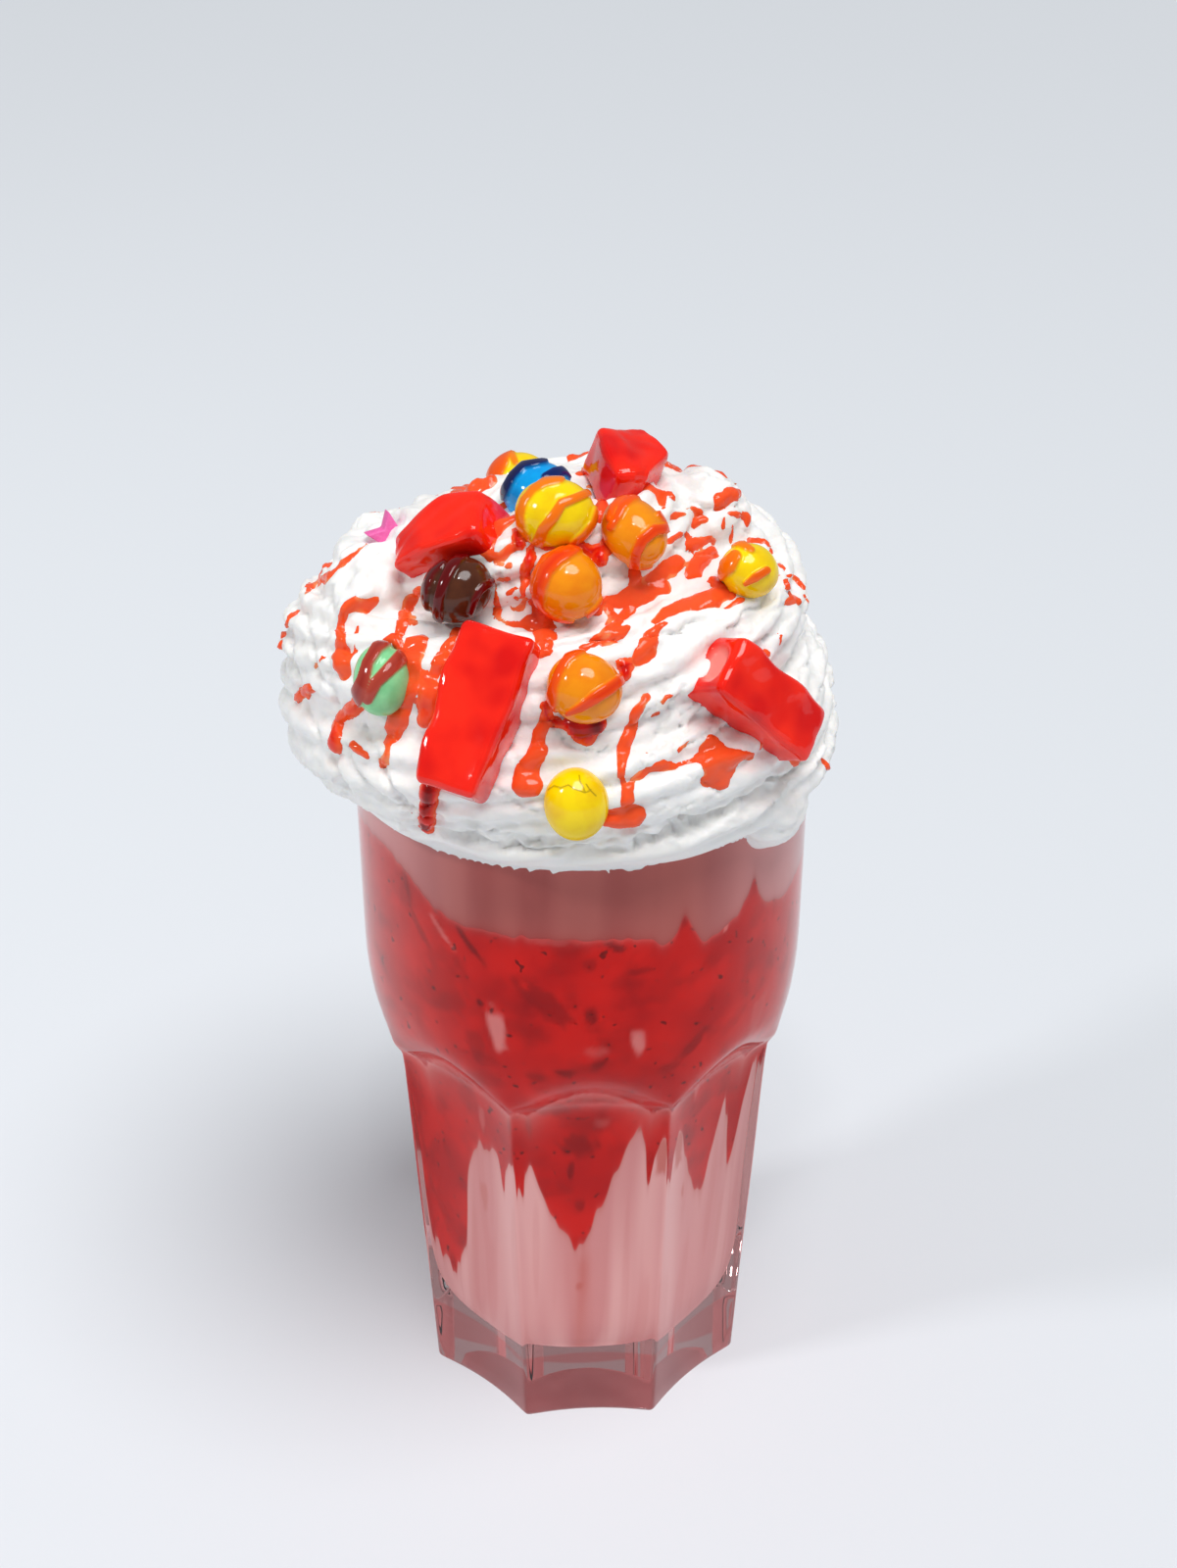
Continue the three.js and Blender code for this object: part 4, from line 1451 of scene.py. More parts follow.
# The folds that the photo shows between lobes and ridges.
CREASES = tuple(Crease(*fold) for fold in (
    (((338, 772), (342, 792), (352, 813), (368, 832), (392, 843), (428, 849), (470, 856), (520, 867),
     (560, 871), (611, 871), (641, 867), (659, 860), (707, 842), (751, 822), (805, 794), (830, 776)), 13,
     2.4), (((352, 762), (360, 785), (376, 806), (402, 822), (430, 832)), 9, 1.3),
    (((390, 783), (399, 806), (422, 828), (450, 838)), 8, 1.2),
    (((310, 624), (317, 655), (323, 688), (338, 702), (345, 722)), 8, 0.9),
    (((296, 640), (298, 670), (306, 700), (318, 735), (330, 762)), 8, 0.8),
    (((340, 600), (336, 630), (333, 660), (336, 690)), 7, 0.6),
    (((372, 740), (380, 760), (388, 784)), 7, 0.7),
    (((455, 852), (480, 862), (520, 876), (560, 880), (600, 878)), 6, 1.0),
    (((700, 700), (688, 720), (672, 742), (660, 764), (650, 786)), 6, 0.9),
    (((712, 706), (702, 724), (688, 744), (672, 764), (660, 782)), 6, 0.9),
    (((724, 712), (716, 728), (702, 746), (686, 764)), 6, 0.9),
    (((738, 718), (730, 733), (718, 748), (700, 766)), 6, 1.0),
    (((752, 726), (742, 740), (728, 752)), 6, 0.9),
    (((690, 690), (676, 706), (664, 724), (656, 742)), 6, 0.8),
    (((662, 796), (690, 790), (716, 796), (740, 812), (700, 822), (660, 830)), 5, 0.5),
    (((560, 660), (590, 655), (630, 652), (670, 648), (712, 636), (740, 626)), 8, 1.4),
    (((575, 648), (600, 640), (612, 632)), 6, 0.8),
    (((744, 640), (760, 628), (782, 612), (796, 596)), 8, 1.1),
    (((752, 652), (770, 640), (790, 624), (802, 610)), 7, 1.0),
    (((766, 664), (782, 650), (796, 640), (808, 626)), 6, 0.9),
    (((790, 690), (806, 676), (820, 654), (826, 630)), 6, 0.8),
    (((806, 706), (822, 688), (834, 662), (838, 640)), 6, 0.8),
    (((832, 720), (842, 700), (848, 676), (846, 652)), 5, 0.8),
    (((836, 770), (846, 746), (851, 716), (850, 690)), 5, 0.8),
    (((800, 600), (815, 612), (826, 630), (834, 650)), 6, 0.8),
    (((706, 512), (722, 520), (742, 520), (760, 512)), 7, 0.9),
    (((690, 520), (700, 512), (712, 496), (730, 486), (750, 492)), 6, 0.7),
    (((758, 540), (780, 556), (798, 576), (812, 600)), 6, 0.8),
    (((690, 560), (710, 562), (730, 566)), 6, 0.8), (((600, 596), (620, 590), (640, 584)), 6, 0.7),
    (((500, 600), (512, 584), (520, 566), (530, 548)), 5, 0.7),
    (((480, 566), (492, 548), (506, 532), (522, 520)), 5, 0.7),
    (((490, 690), (470, 760), (500, 800), (530, 820), (550, 830)), 6, 0.7),
    (((500, 740), (520, 760), (530, 780)), 6, 0.8),
    (((560, 700), (556, 720), (574, 756), (600, 768), (622, 764)), 7, 0.9),
    (((470, 860), (500, 850), (530, 856), (560, 862)), 6, 0.9),
    (((340, 560), (330, 580), (318, 600)), 6, 0.5),
))


def tapered(share: Array, start: float, end: float, least: float) -> Array:
    """How full a rope of cream is along its length, thin at both ends.

    Args:
        share: Shares of its length.
        start: The share over which it fills out.
        end: The share over which it thins again.
        least: Its fullness at the very ends.

    Returns:
        Fullness, from least to 1.
    """
    ends = np.clip(np.minimum(share / start, (1 - share) / end), 0, 1)
    return least + (1 - least) * np.sqrt(ends)


@dataclass
class WhippedCream:
    """The mound of piped cream: a core, a hem over the rim, a long spiral and a few knobs."""

    studio: Studio
    mound: Mound
    tumbler: Tumbler
    drink_top: float = 138 * MM
    voxel: float = 0.68 * MM  # the finest detail of the melted skin
    waver: float = 2.2  # how far the folds stray from their lines, in pixels

    def spiral_route(self, share: Array) -> tuple[Array, Array, Array]:
        """The long rope, winding up from the rim to the top in ever smaller turns."""
        azimuth = -205 + 360 * 3.3 * share
        elevation = 7 + 60 * smoothstep(share, 0.16, 1) + 5 * share
        return azimuth, elevation, (12.4 - 1.4 * share) * MM * tapered(share, 0.03, 0.02, 0.35)

    def hem_route(self, share: Array) -> tuple[Array, Array, Array]:
        """The first, thinner ring, which laps over the rim of the glass."""
        azimuth = -170 + 372 * share
        radius = (8 + 0.7 * np.sin(np.radians(3 * azimuth))) * MM * tapered(share, 0.04, 0.04, 0.4)
        return azimuth, -3.2 - 0.8 * np.cos(np.radians(azimuth + 60)), radius

    def shoulder_route(self, share: Array) -> tuple[Array, Array, Array]:
        """A short rope that fills out the left shoulder, between two turns of the long one."""
        elevation = 34 + 6 * np.sin(math.pi * share)
        return -122 + 66 * share, elevation, 10 * MM * tapered(share, 0.2, 0.2, 0.45)

    def core(self) -> Piece:
        """The plain inside of the mound, down into the glass."""
        bore = self.tumbler.rim_radius - self.tumbler.rim_wall + 0.3 * MM
        chain = [(0, self.drink_top), (bore, self.drink_top), (bore, self.tumbler.height + 2 * MM)]
        dome = [(43, 153), (42, 165), (36, 178), (26, 189), (12, 196), (0, 198)]
        chain += [(radius * MM, height * MM) for radius, height in dome]
        core = spin_chain("cream_core", chain, 96)
        points = points_of(core)
        lean = np.where(points[:, 2] > self.tumbler.height, 0.4 * self.mound.centre[0], 0)
        move_points(core, points + np.stack([lean, 0 * lean, 0 * lean], -1))
        return core

    def crease(self, cream: Piece) -> None:
        """Breaks the skin up into uneven folds, deepest in the hem."""
        points, normals = points_of(cream), normals_of(cream)
        folds = np.abs(Ripple(11 * MM, 41, 12)(points * (1, 1, 2.2)))
        curds = np.abs(Ripple(4.6 * MM, 42, 12)(points * (1, 1, 1.5)))
        hem = 1 - smoothstep(points[:, 2], 146 * MM, 156 * MM)
        height = 0.2 - (0.36 + 0.6 * hem) * folds - (0.16 + 0.4 * hem) * curds
        spots, _ = self.studio.front_pixels(points, self.mound.centre)
        spots += self.waver * Ripple(26, 51)(np.hstack([spots, 0 * spots[:, :1]]))[:, None]
        for crease in CREASES:
            inside = inside_line(spots, crease.line, [crease.width] * len(crease.line))
            share = np.clip(inside / (crease.width / 2), 0, 1)
            height = height - crease.depth * share ** 1.3
        free = smoothstep(points[:, 2], self.tumbler.height + 0.5 * MM, self.tumbler.height + 4 * MM)
        move_points(cream, points + normals * (height * free * MM)[:, None])

    def knob(self, azimuth: float, elevation: float, size: float, rise: float) -> Piece:
        """A small lump of cream.

        Args:
            azimuth: Its azimuth on the mound in degrees.
            elevation: Its elevation in degrees.
            size: Its radius in metres.
            rise: How far it stands out of the mound in metres.

        Returns:
            The lump.
        """
        deselect()
        place = self.mound.place(azimuth, elevation, size - rise)
        bpy.ops.mesh.primitive_ico_sphere_add(subdivisions=4, radius=size, location=place)
        lump = added("cream_knob")
        settle(lump)
        points = points_of(lump) - place
        outward = directions(np.array(azimuth), np.array(elevation))
        side = unit(np.cross(outward, (0, 0, 1.0)))
        around = np.arctan2(points @ np.cross(side, outward), points @ side)
        swirl = np.abs(np.cos(3.5 * around + 3.0 * (points @ outward) / size)) ** 0.7
        move_points(lump, place + points * (0.82 + 0.18 * swirl)[:, None])
        return lump

    def build(self) -> Piece:
        """Pipes the cream and melts it into one skin.

        Returns:
            The cream, for what lies on it.
        """
        ropes = [
            Rope("cream_spiral", self.spiral_route, ribs=13, depth=0.25, twist=900, around=144, seed=2),
            Rope("cream_hem", self.hem_route, ribs=9, depth=0.26, twist=420, along=260, seed=4),
            Rope("cream_shoulder", self.shoulder_route, ribs=8, depth=0.22, twist=90, along=80, seed=6),
        ]
        knobs = [(56, -10, 8.5, 1), (86, 57, 9.5, 2.2), (-36, -2, 6, 1.5), (160, 62, 9, 0),
                 (-150, -8, 7, 1)]  # azimuth, elevation, size and rise
        lumps = [self.core(), *(rope.build(self.mound) for rope in ropes)]
        lumps += [self.knob(a, e, size * MM, rise * MM) for a, e, size, rise in knobs]
        cream = joined("whipped_cream_piped", lumps)
        apply_modifier(cream, "REMESH", mode="VOXEL", voxel_size=self.voxel, use_smooth_shade=True)
        apply_modifier(cream, "SMOOTH", factor=0.5, iterations=1)
        self.crease(cream)
        shade_smooth(cream)
        finish_piece(cream, Cream(), "whipped_cream", "whipped_cream")
        return cream


# ---------------------------------------------------------------- syrup


@dataclass(frozen=True)
class Band:
    """A run of syrup seen in the photo: its line, and its widths, all in the photo's pixels."""

    line: tuple[Pair, ...]
    widths: tuple[float, ...]
    depth: float  # how thick and dark it lies, from 0 to 1


# The runs and drops of syrup that the photo shows, without their finest threads.
DRIZZLE = tuple(Band(*run) for run in (
    (((374, 555), (350, 575), (335, 588), (318, 597), (312, 606)), (4, 8, 13, 11, 4), 0.2),
    (((306, 623), (296, 630), (292, 640), (288, 652), (286, 660)), (5, 6, 5, 5, 6), 0.6),
    (((358, 616), (372, 618), (384, 612)), (16, 16, 4), 0.2),
    (((353, 620), (347, 635), (348, 650), (349, 665), (348, 682)), (8, 7, 11, 20, 22), 0.3),
    (((366, 638), (361, 652), (363, 664), (356, 672)), (4, 4, 5, 6), 0.4),
    (((303, 712), (310, 707), (317, 702)), (8, 13, 9), 0.6),
    (((330, 670), (324, 676), (322, 682)), (5, 6, 4), 0.2),
    (((372, 708), (362, 722), (348, 732), (342, 748), (342, 760)), (14, 16, 12, 14, 19), 0.6),
    (((358, 761), (366, 766), (373, 771)), (8, 11, 7), 0.4),
    (((428, 603), (420, 612), (412, 630), (408, 646)), (8, 12, 14, 8), 0.3),
    (((420, 630), (423, 636)), (8, 6), 0.2),
    (((392, 654), (402, 650), (409, 662), (410, 678)), (8, 11, 10, 8), 0.7),
    (((426, 652), (420, 668), (420, 684), (424, 698)), (20, 24, 24, 22), 0.3),
    (((408, 696), (403, 712), (400, 732), (396, 744)), (12, 14, 14, 10), 0.35),
    (((432, 690), (438, 704), (436, 720), (432, 736)), (14, 20, 22, 14), 0.45),
    (((420, 702), (414, 720), (410, 740), (402, 756)), (10, 14, 14, 9), 0.35),
    (((400, 748), (396, 764), (391, 780)), (10, 9, 10), 0.4),
    (((466, 644), (456, 660), (449, 674), (442, 690)), (9, 13, 13, 12), 0.25),
    (((447, 668), (440, 680)), (4, 4), 0.9),
    (((440, 803), (438, 818), (434, 832), (436, 843)), (19, 15, 15, 17), 0.95),
    (((508, 478), (495, 490), (480, 496), (466, 503), (450, 512)), (14, 24, 20, 10, 5), 0.28),
    (((528, 508), (511, 517), (499, 527), (486, 541), (474, 564)), (9, 10, 9, 7, 5), 0.5),
    (((527, 527), (512, 534), (502, 548), (495, 560), (500, 569)), (9, 14, 13, 15, 8), 0.28),
    (((529, 555), (520, 561), (512, 569), (511, 574)), (7, 9, 9, 6), 0.3),
    (((510, 577), (518, 577)), (5, 6), 0.3), (((508, 591), (517, 591)), (7, 8), 0.25),
    (((505, 566), (506, 590), (506, 612), (504, 630)), (3, 3, 4, 3), 0.3),
    (((519, 606), (525, 600), (533, 603), (536, 612), (531, 621), (523, 622), (519, 615)), (4, 5, 5, 5, 5,
     4, 3), 0.25), (((526, 610), (528, 611)), (5, 5), 0.3),
    (((506, 612), (511, 622), (508, 631), (518, 636), (534, 637)), (5, 5, 5, 6, 9), 0.3),
    (((525, 541), (528, 549), (531, 556), (537, 549)), (6, 10, 8, 6), 0.95),
    (((545, 551), (556, 559), (575, 556), (592, 556), (604, 563), (616, 562)), (8, 8, 7, 10, 14, 16),
     0.75), (((615, 509), (613, 526)), (12, 14), 0.5),
    (((619, 528), (619, 545), (617, 558), (612, 570)), (8, 7, 10, 14), 0.8),
    (((543, 556), (541, 570), (537, 586), (535, 599), (533, 609)), (7, 10, 9, 8, 5), 0.75),
    (((546, 612), (549, 624), (558, 629)), (7, 11, 10), 0.7),
    (((540, 636), (552, 638), (556, 650), (558, 664), (552, 668)), (16, 22, 20, 12, 8), 0.45),
    (((560, 640), (572, 643)), (8, 4), 0.25), (((609, 623), (613, 614)), (9, 7), 0.9),
    (((612, 618), (622, 622), (625, 630), (619, 637)), (5, 6, 6, 6), 0.3),
    (((642, 624), (632, 634), (618, 645), (607, 653)), (12, 11, 10, 8), 0.3),
    (((604, 655), (617, 656), (630, 648), (641, 640)), (8, 12, 12, 8), 0.3),
    (((592, 484), (600, 478), (606, 474)), (8, 11, 8), 0.35),
    (((600, 497), (615, 492), (628, 489), (638, 488)), (5, 7, 11, 7), 0.28),
    (((652, 500), (664, 498), (674, 505), (677, 518)), (7, 14, 12, 7), 0.28),
    (((683, 503), (688, 509)), (5, 4), 0.4), (((700, 520), (706, 519), (713, 523)), (4, 6, 5), 0.4),
    (((684, 528), (692, 525), (700, 524)), (5, 6, 4), 0.35),
    (((708, 535), (713, 531), (719, 531)), (8, 9, 6), 0.45),
    (((731, 520), (736, 510), (745, 504), (753, 503)), (6, 16, 14, 11), 0.5),
    (((744, 524), (755, 525), (762, 528), (762, 534)), (4, 7, 10, 8), 0.5),
    (((739, 529), (738, 537)), (5, 5), 0.4), (((748, 534), (746, 551)), (4, 7), 0.35),
    (((681, 554), (688, 548), (700, 545), (703, 551)), (5, 6, 6, 7), 0.4),
    (((702, 556), (714, 554), (724, 549), (728, 553)), (9, 11, 9, 5), 0.4),
    (((728, 563), (716, 571), (708, 580), (702, 588)), (12, 16, 18, 9), 0.35),
    (((692, 575), (680, 581), (668, 588), (656, 592)), (15, 19, 14, 8), 0.35),
    (((648, 582), (649, 594), (656, 604)), (11, 16, 20), 0.25),
    (((674, 599), (660, 604), (645, 609), (630, 613), (618, 612)), (19, 22, 22, 15, 10), 0.28),
    (((763, 557), (768, 551), (780, 552), (787, 558), (787, 565)), (5, 6, 6, 5, 4), 0.4),
    (((774, 564), (781, 565), (790, 573)), (5, 7, 5), 0.45), (((794, 575), (799, 581)), (3, 3), 0.5),
    (((779, 588), (786, 584), (798, 587)), (7, 8, 4), 0.45),
    (((801, 587), (811, 589), (819, 599)), (4, 6, 4), 0.5), (((802, 593), (804, 601)), (3, 3), 0.8),
    (((801, 615), (808, 611), (815, 614)), (7, 11, 7), 0.5), (((821, 609), (830, 620)), (4, 4), 0.4),
    (((797, 648), (796, 657)), (5, 5), 0.35), (((772, 672), (780, 667), (784, 668)), (6, 9, 5), 0.5),
    (((742, 604), (722, 610), (700, 618), (682, 626), (668, 634)), (16, 25, 21, 15, 8), 0.33),
    (((728, 592), (737, 601), (745, 608)), (10, 13, 10), 0.7),
    (((741, 621), (750, 615), (759, 611)), (4, 6, 5), 0.35),
    (((678, 636), (669, 641), (664, 652), (660, 664), (650, 674)), (6, 10, 18, 20, 12), 0.4),
    (((631, 675), (638, 680), (638, 692)), (8, 14, 6), 1.0),
    (((582, 738), (596, 744), (608, 738)), (16, 28, 18), 1.0),
    (((557, 722), (560, 734), (572, 739)), (12, 14, 10), 0.85),
    (((558, 738), (550, 750), (549, 766), (541, 780), (537, 792), (539, 801)), (12, 12, 17, 20, 24, 29),
     0.38), (((532, 801), (546, 802)), (10, 10), 0.65),
    (((659, 712), (650, 727), (643, 745), (636, 762), (635, 780), (634, 793)), (8, 9, 13, 13, 9, 7), 0.4),
    (((634, 793), (639, 804), (640, 818)), (6, 8, 12), 0.35),
    (((626, 834), (637, 838), (650, 830)), (24, 32, 16), 0.42),
    (((641, 806), (646, 795), (659, 787), (676, 780), (689, 782)), (6, 7, 10, 12, 5), 0.4),
    (((689, 782), (700, 778), (712, 775)), (4, 4, 6), 0.3), (((692, 766), (702, 757)), (4, 4), 0.25),
    (((725, 757), (728, 768), (735, 782)), (14, 30, 40), 0.33),
    (((713, 773), (735, 778), (752, 774), (768, 771)), (10, 30, 20, 5), 0.28),
    (((722, 794), (736, 796)), (16, 20), 0.35), (((775, 768), (778, 757)), (4, 6), 0.3),
    (((804, 768), (812, 776), (822, 768)), (8, 11, 8), 0.6),
    (((839, 775), (845, 783), (849, 790)), (4, 6, 4), 0.5),
    (((687, 710), (680, 711), (677, 717)), (3, 3, 3), 0.25), (((665, 731), (671, 727)), (3, 3), 0.2),
    (((596, 661), (606, 657)), (8, 8), 0.35),
))


@dataclass
class SyrupDrizzle:
    """Syrup over the cream: a film that follows the surface inside every run."""

    studio: Studio
    full_depth: float = 1.5 * MM  # how high the thickest syrup stands
    dip: float = 0.5 * MM  # how far its hidden edge goes under the cream's skin
    margin: float = 1.2 * MM  # how wide that edge is
    shoulder: float = 0.55 * MM  # how far in from its edge it has most of its height
    film: float = 0.8 * MM
    swell: float = 1.08  # how much wider syrup lies than its core shows
    pixel_step: float = 1.5
    back_runs: int = 26
    back_points: int = 24

    def samples(self, tree: BVHTree) -> list[tuple[Vector, float, float]]:
        """Points along every run where it meets the cream.

        Args:
            tree: The cream's surface.

        Returns:
            Places, half widths in metres and depths from 0 to 1.
        """
        found = []
        for run in DRIZZLE:
            for i in range(len(run.line) - 1):
                (x0, y0), (x1, y1) = run.line[i:i + 2]
                w0, w1 = run.widths[i:i + 2]
                steps = max(2, int(math.hypot(x1 - x0, y1 - y0) / self.pixel_step))
                for share in np.linspace(0, 1, steps + 1):
                    eye, sight = self.studio.ray(x0 + (x1 - x0) * share, y0 + (y1 - y0) * share)
                    hit, _, _, far = tree.ray_cast(eye, sight)
                    if hit is None:
                        continue
                    half = self.swell * (w0 + (w1 - w0) * share) / 2 * far / self.studio.focal_pixels
                    found.append((hit, half, run.depth))
        return found

    def back_samples(self, tree: BVHTree, mound: Mound) -> list[tuple[Vector, float, float]]:
        """Points of the runs at the back, which go on like those in front.

        Args:
            tree: The cream's surface.
            mound: What the runs lie on.

        Returns:
            Places, half widths in metres and depths from 0 to 1.
        """
        draw = np.random.default_rng(12)
        found = []
        for number in range(self.back_runs):
            azimuth = 100 + 160 * draw.random()
            elevation = 16 + 58 * draw.random()
            lean, length = draw.uniform(-14, 14), draw.uniform(4, 20)
            half, depth = draw.uniform(0.5, 1.5) * MM, draw.uniform(0.25, 0.6)
            for share in np.linspace(0, 1, self.back_points):
                a = azimuth + lean * share + 2 * math.sin(6 * share + number)
                e = elevation - length * share
                outward = Vector(directions(np.array(a), np.array(e)))
                hit = tree.ray_cast(Vector(mound.centre) + outward * 0.12, -outward)[0]
                if hit is not None:
                    found.append((hit, half * (0.6 + 0.6 * share), depth))
        return found

    def build(self, cream: Piece, mound: Mound) -> None:
        """Lifts a film off the cream inside the runs and thickens it.

        Args:
            cream: The cream that the syrup lies on.
            mound: The form under the cream.
        """
        corners = [vertex.co for vertex in cream.data.vertices]
        tree = BVHTree.FromPolygons(corners, [polygon.vertices for polygon in cream.data.polygons])
        points, normals = points_of(cream), normals_of(cream)
        near = kdtree.KDTree(len(points))
        for i, point in enumerate(points):
            near.insert(point, i)
        near.balance()
        inside = np.full(len(points), -1.0)
        depth = np.zeros(len(points))
        for place, half, thick in self.samples(tree) + self.back_samples(tree, mound):
            for _, i, away in near.find_range(place, half + self.margin):
                if half - away > inside[i]:
                    inside[i] = half - away
                    depth[i] = thick
        wave = Ripple(4.5 * MM, 21)(points) * 0.2 * MM + Ripple(1.8 * MM, 22)(points) * 0.08 * MM
        inside = np.where(inside > -0.5, inside + wave, -1.0)
        dome = 1 - fading(inside, self.shoulder)
        height = np.where(inside > 0, self.full_depth * depth * dome, inside * 0.6)
        height = np.maximum(height, -self.dip)
        take(cream)
        bpy.ops.object.duplicate()
        film = added("syrup_drizzle")
        film.animation_data_clear()
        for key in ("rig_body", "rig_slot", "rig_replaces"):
            if key in film:
                del film[key]
        film.parent = None
        move_points(film, points + normals * height[:, None])
        pooled = depth * (0.25 + 0.75 * dome) + 0.1 * Ripple(6 * MM, 23)(points)
        paint(film, "depth", np.clip(pooled, 0, 1))
        wet = inside > -self.margin
        for polygon in film.data.polygons:
            polygon.select = any(wet[i] for i in polygon.vertices)
        take(film)
        bpy.context.tool_settings.mesh_select_mode = (False, False, True)
        bpy.ops.object.mode_set(mode="EDIT")
        bpy.ops.mesh.select_all(action="INVERT")
        bpy.ops.mesh.delete(type="FACE")
        bpy.ops.object.mode_set(mode="OBJECT")
        apply_modifier(film, "SOLIDIFY", thickness=self.film, offset=-1.0, use_rim=True)
        shade_smooth(film)
        finish_piece(film, Syrup(), "strawberry_sauce")


# ---------------------------------------------------------------- toppings


@dataclass(frozen=True)
class CandyLook:
    """One candy: its node, sugar and streaks of syrup."""

    node: str
    sugar: Sugar
    streaks: tuple[Band, ...] = ()
    cracked: bool = False


class Fitted:
    """The middle and the three axes of a solid, longest first, read from its node.

    Args:
        node: The node's name.
        outward_from: A point that the last axis faces away from.
    """

    def __init__(self, node: str, outward_from: Array) -> None:
        """Measures the node."""
        points = points_of(frame["nodes"][node])
        self.middle = (points.max(0) + points.min(0)) / 2
        _, _, axes = np.linalg.svd(points - points.mean(0), full_matrices=False)
        spans = (points - self.middle) @ axes.T
        self.middle = self.middle + ((spans.max(0) + spans.min(0)) / 2) @ axes
        self.sizes = np.ptp(spans, axis=0)
        order = np.argsort(-self.sizes)
        self.axes, self.sizes = axes[order], self.sizes[order]
        if (self.middle - outward_from) @ self.axes[2] < 0:
            self.axes[2] *= -1
        if np.linalg.det(self.axes) < 0:
            self.axes[1] *= -1

    def place(self, local: Array) -> Array:
        """Turns points in the solid's own axes into the frame."""
        return local @ self.axes + self.middle


@dataclass
class Candies:
    """The sugar-coated candies, each with the syrup that ran over it."""

    studio: Studio
    mound: Mound
    rib: float = 0.62 * MM  # how high the syrup stands on the shell
    fringe: float = 0.7  # pixels of fading on either side of its edge
    across: int = 150
    up: int = 96
    cracks: tuple[tuple[Pair, ...], ...] = (
        ((559, 806), (565, 802), (572, 804), (580, 801), (586, 805)),
        ((591, 791), (592, 798), (595, 803), (597, 809)), ((598, 800), (602, 806), (608, 812)),
        ((586, 805), (592, 807), (597, 809), (603, 806)))

    def looks(self) -> list[CandyLook]:
        """The ten candies."""
        return [
            CandyLook("candy_yellow_top", Sugar.YELLOW, (
                Band(((572, 490), (556, 493), (545, 500), (536, 511), (532, 525), (533, 540), (538, 549)),
                     (8, 9, 8, 8, 9, 9, 8), 0.25),
                Band(((602, 502), (586, 509), (573, 514), (565, 527), (555, 539), (549, 554)),
                     (8, 9, 10, 11, 11, 12), 0.4),
                Band(((610, 516), (605, 533), (595, 545), (583, 554)), (7, 8, 8, 6), 0.45),
                Band(((529, 546), (545, 556), (560, 562), (590, 560)), (8, 7, 5, 7), 1.0))),
            CandyLook("candy_blue", Sugar.BLUE, (
                Band(((556, 472), (535, 476), (525, 486), (518, 498), (515, 507)), (5, 7, 8, 8, 7), 1.0),
                Band(((556, 487), (565, 483), (576, 481), (588, 488)), (8, 10, 10, 8), 0.5))),
            CandyLook("candy_yellow_back", Sugar.YELLOW, (
                Band(((506, 484), (511, 470), (518, 462)), (16, 18, 10), 0.8),
                Band(((521, 462), (526, 472)), (8, 6), 0.1))),
            CandyLook("candy_orange_right", Sugar.ORANGE, (
                Band(((641, 505), (633, 510), (626, 519), (623, 529)), (6, 7, 7, 8), 0.2),
                Band(((656, 504), (645, 509), (636, 517), (631, 528), (624, 538)), (7, 8, 8, 7, 8), 0.35),
                Band(((672, 525), (681, 532), (680, 539), (667, 541), (655, 551), (649, 564), (647, 578)),
                     (6, 8, 9, 11, 11, 10, 10), 0.6),
                Band(((640, 579), (654, 583), (668, 579)), (6, 9, 7), 1.0))),
            CandyLook("candy_orange_middle", Sugar.ORANGE, (
                Band(((590, 559), (569, 571), (558, 583), (552, 599), (550, 617), (554, 626)),
                     (11, 14, 14, 13, 12, 10), 0.55),
                Band(((575, 560), (556, 570), (546, 588), (544, 604)), (5, 6, 6, 5), 0.1),
                Band(((617, 610), (610, 621), (600, 627)), (8, 9, 6), 0.7),
                Band(((553, 622), (566, 631), (585, 635)), (8, 6, 5), 0.5))),
            CandyLook("candy_brown", Sugar.BROWN, (
                Band(((479, 563), (468, 570), (460, 580), (453, 595), (448, 611), (447, 626), (448, 636)),
                     (9, 10, 10, 10, 9, 9, 9), 0.4),
                Band(((453, 575), (442, 585), (435, 601), (433, 618), (436, 627)), (6, 8, 7, 7, 6), 0.6),
                Band(((503, 594), (494, 598), (488, 604), (484, 612), (480, 624)), (8, 8, 7, 7, 6), 0.3))),
            CandyLook("candy_yellow_right", Sugar.YELLOW, (
                Band(((726, 560), (734, 557), (743, 554), (756, 555), (767, 562)), (9, 9, 9, 8, 6), 0.3),
                Band(((751, 568), (744, 577), (737, 588)), (12, 17, 9), 0.35),
                Band(((781, 582), (770, 589), (761, 595)), (8, 9, 5), 0.8),
                Band(((725, 590), (734, 600), (744, 607)), (10, 9, 8), 0.9))),
            CandyLook("candy_green", Sugar.GREEN, (
                Band(((399, 651), (385, 662), (376, 677), (372, 693), (365, 710), (360, 720)),
                     (13, 12, 11, 13, 16, 15), 0.5),
                Band(((412, 668), (399, 681), (384, 696), (376, 713)), (16, 14, 12, 10), 0.3))),
            CandyLook("candy_orange_front", Sugar.ORANGE, (
                Band(((596, 663), (580, 672), (572, 685), (566, 701), (563, 717), (561, 730)),
                     (7, 8, 8, 9, 13, 15), 0.45),
                Band(((636, 691), (620, 703), (606, 712), (593, 721), (580, 727)),
                     (10, 12, 12, 9, 5), 0.6))),
            CandyLook("candy_yellow_front", Sugar.YELLOW, (), True),
        ]

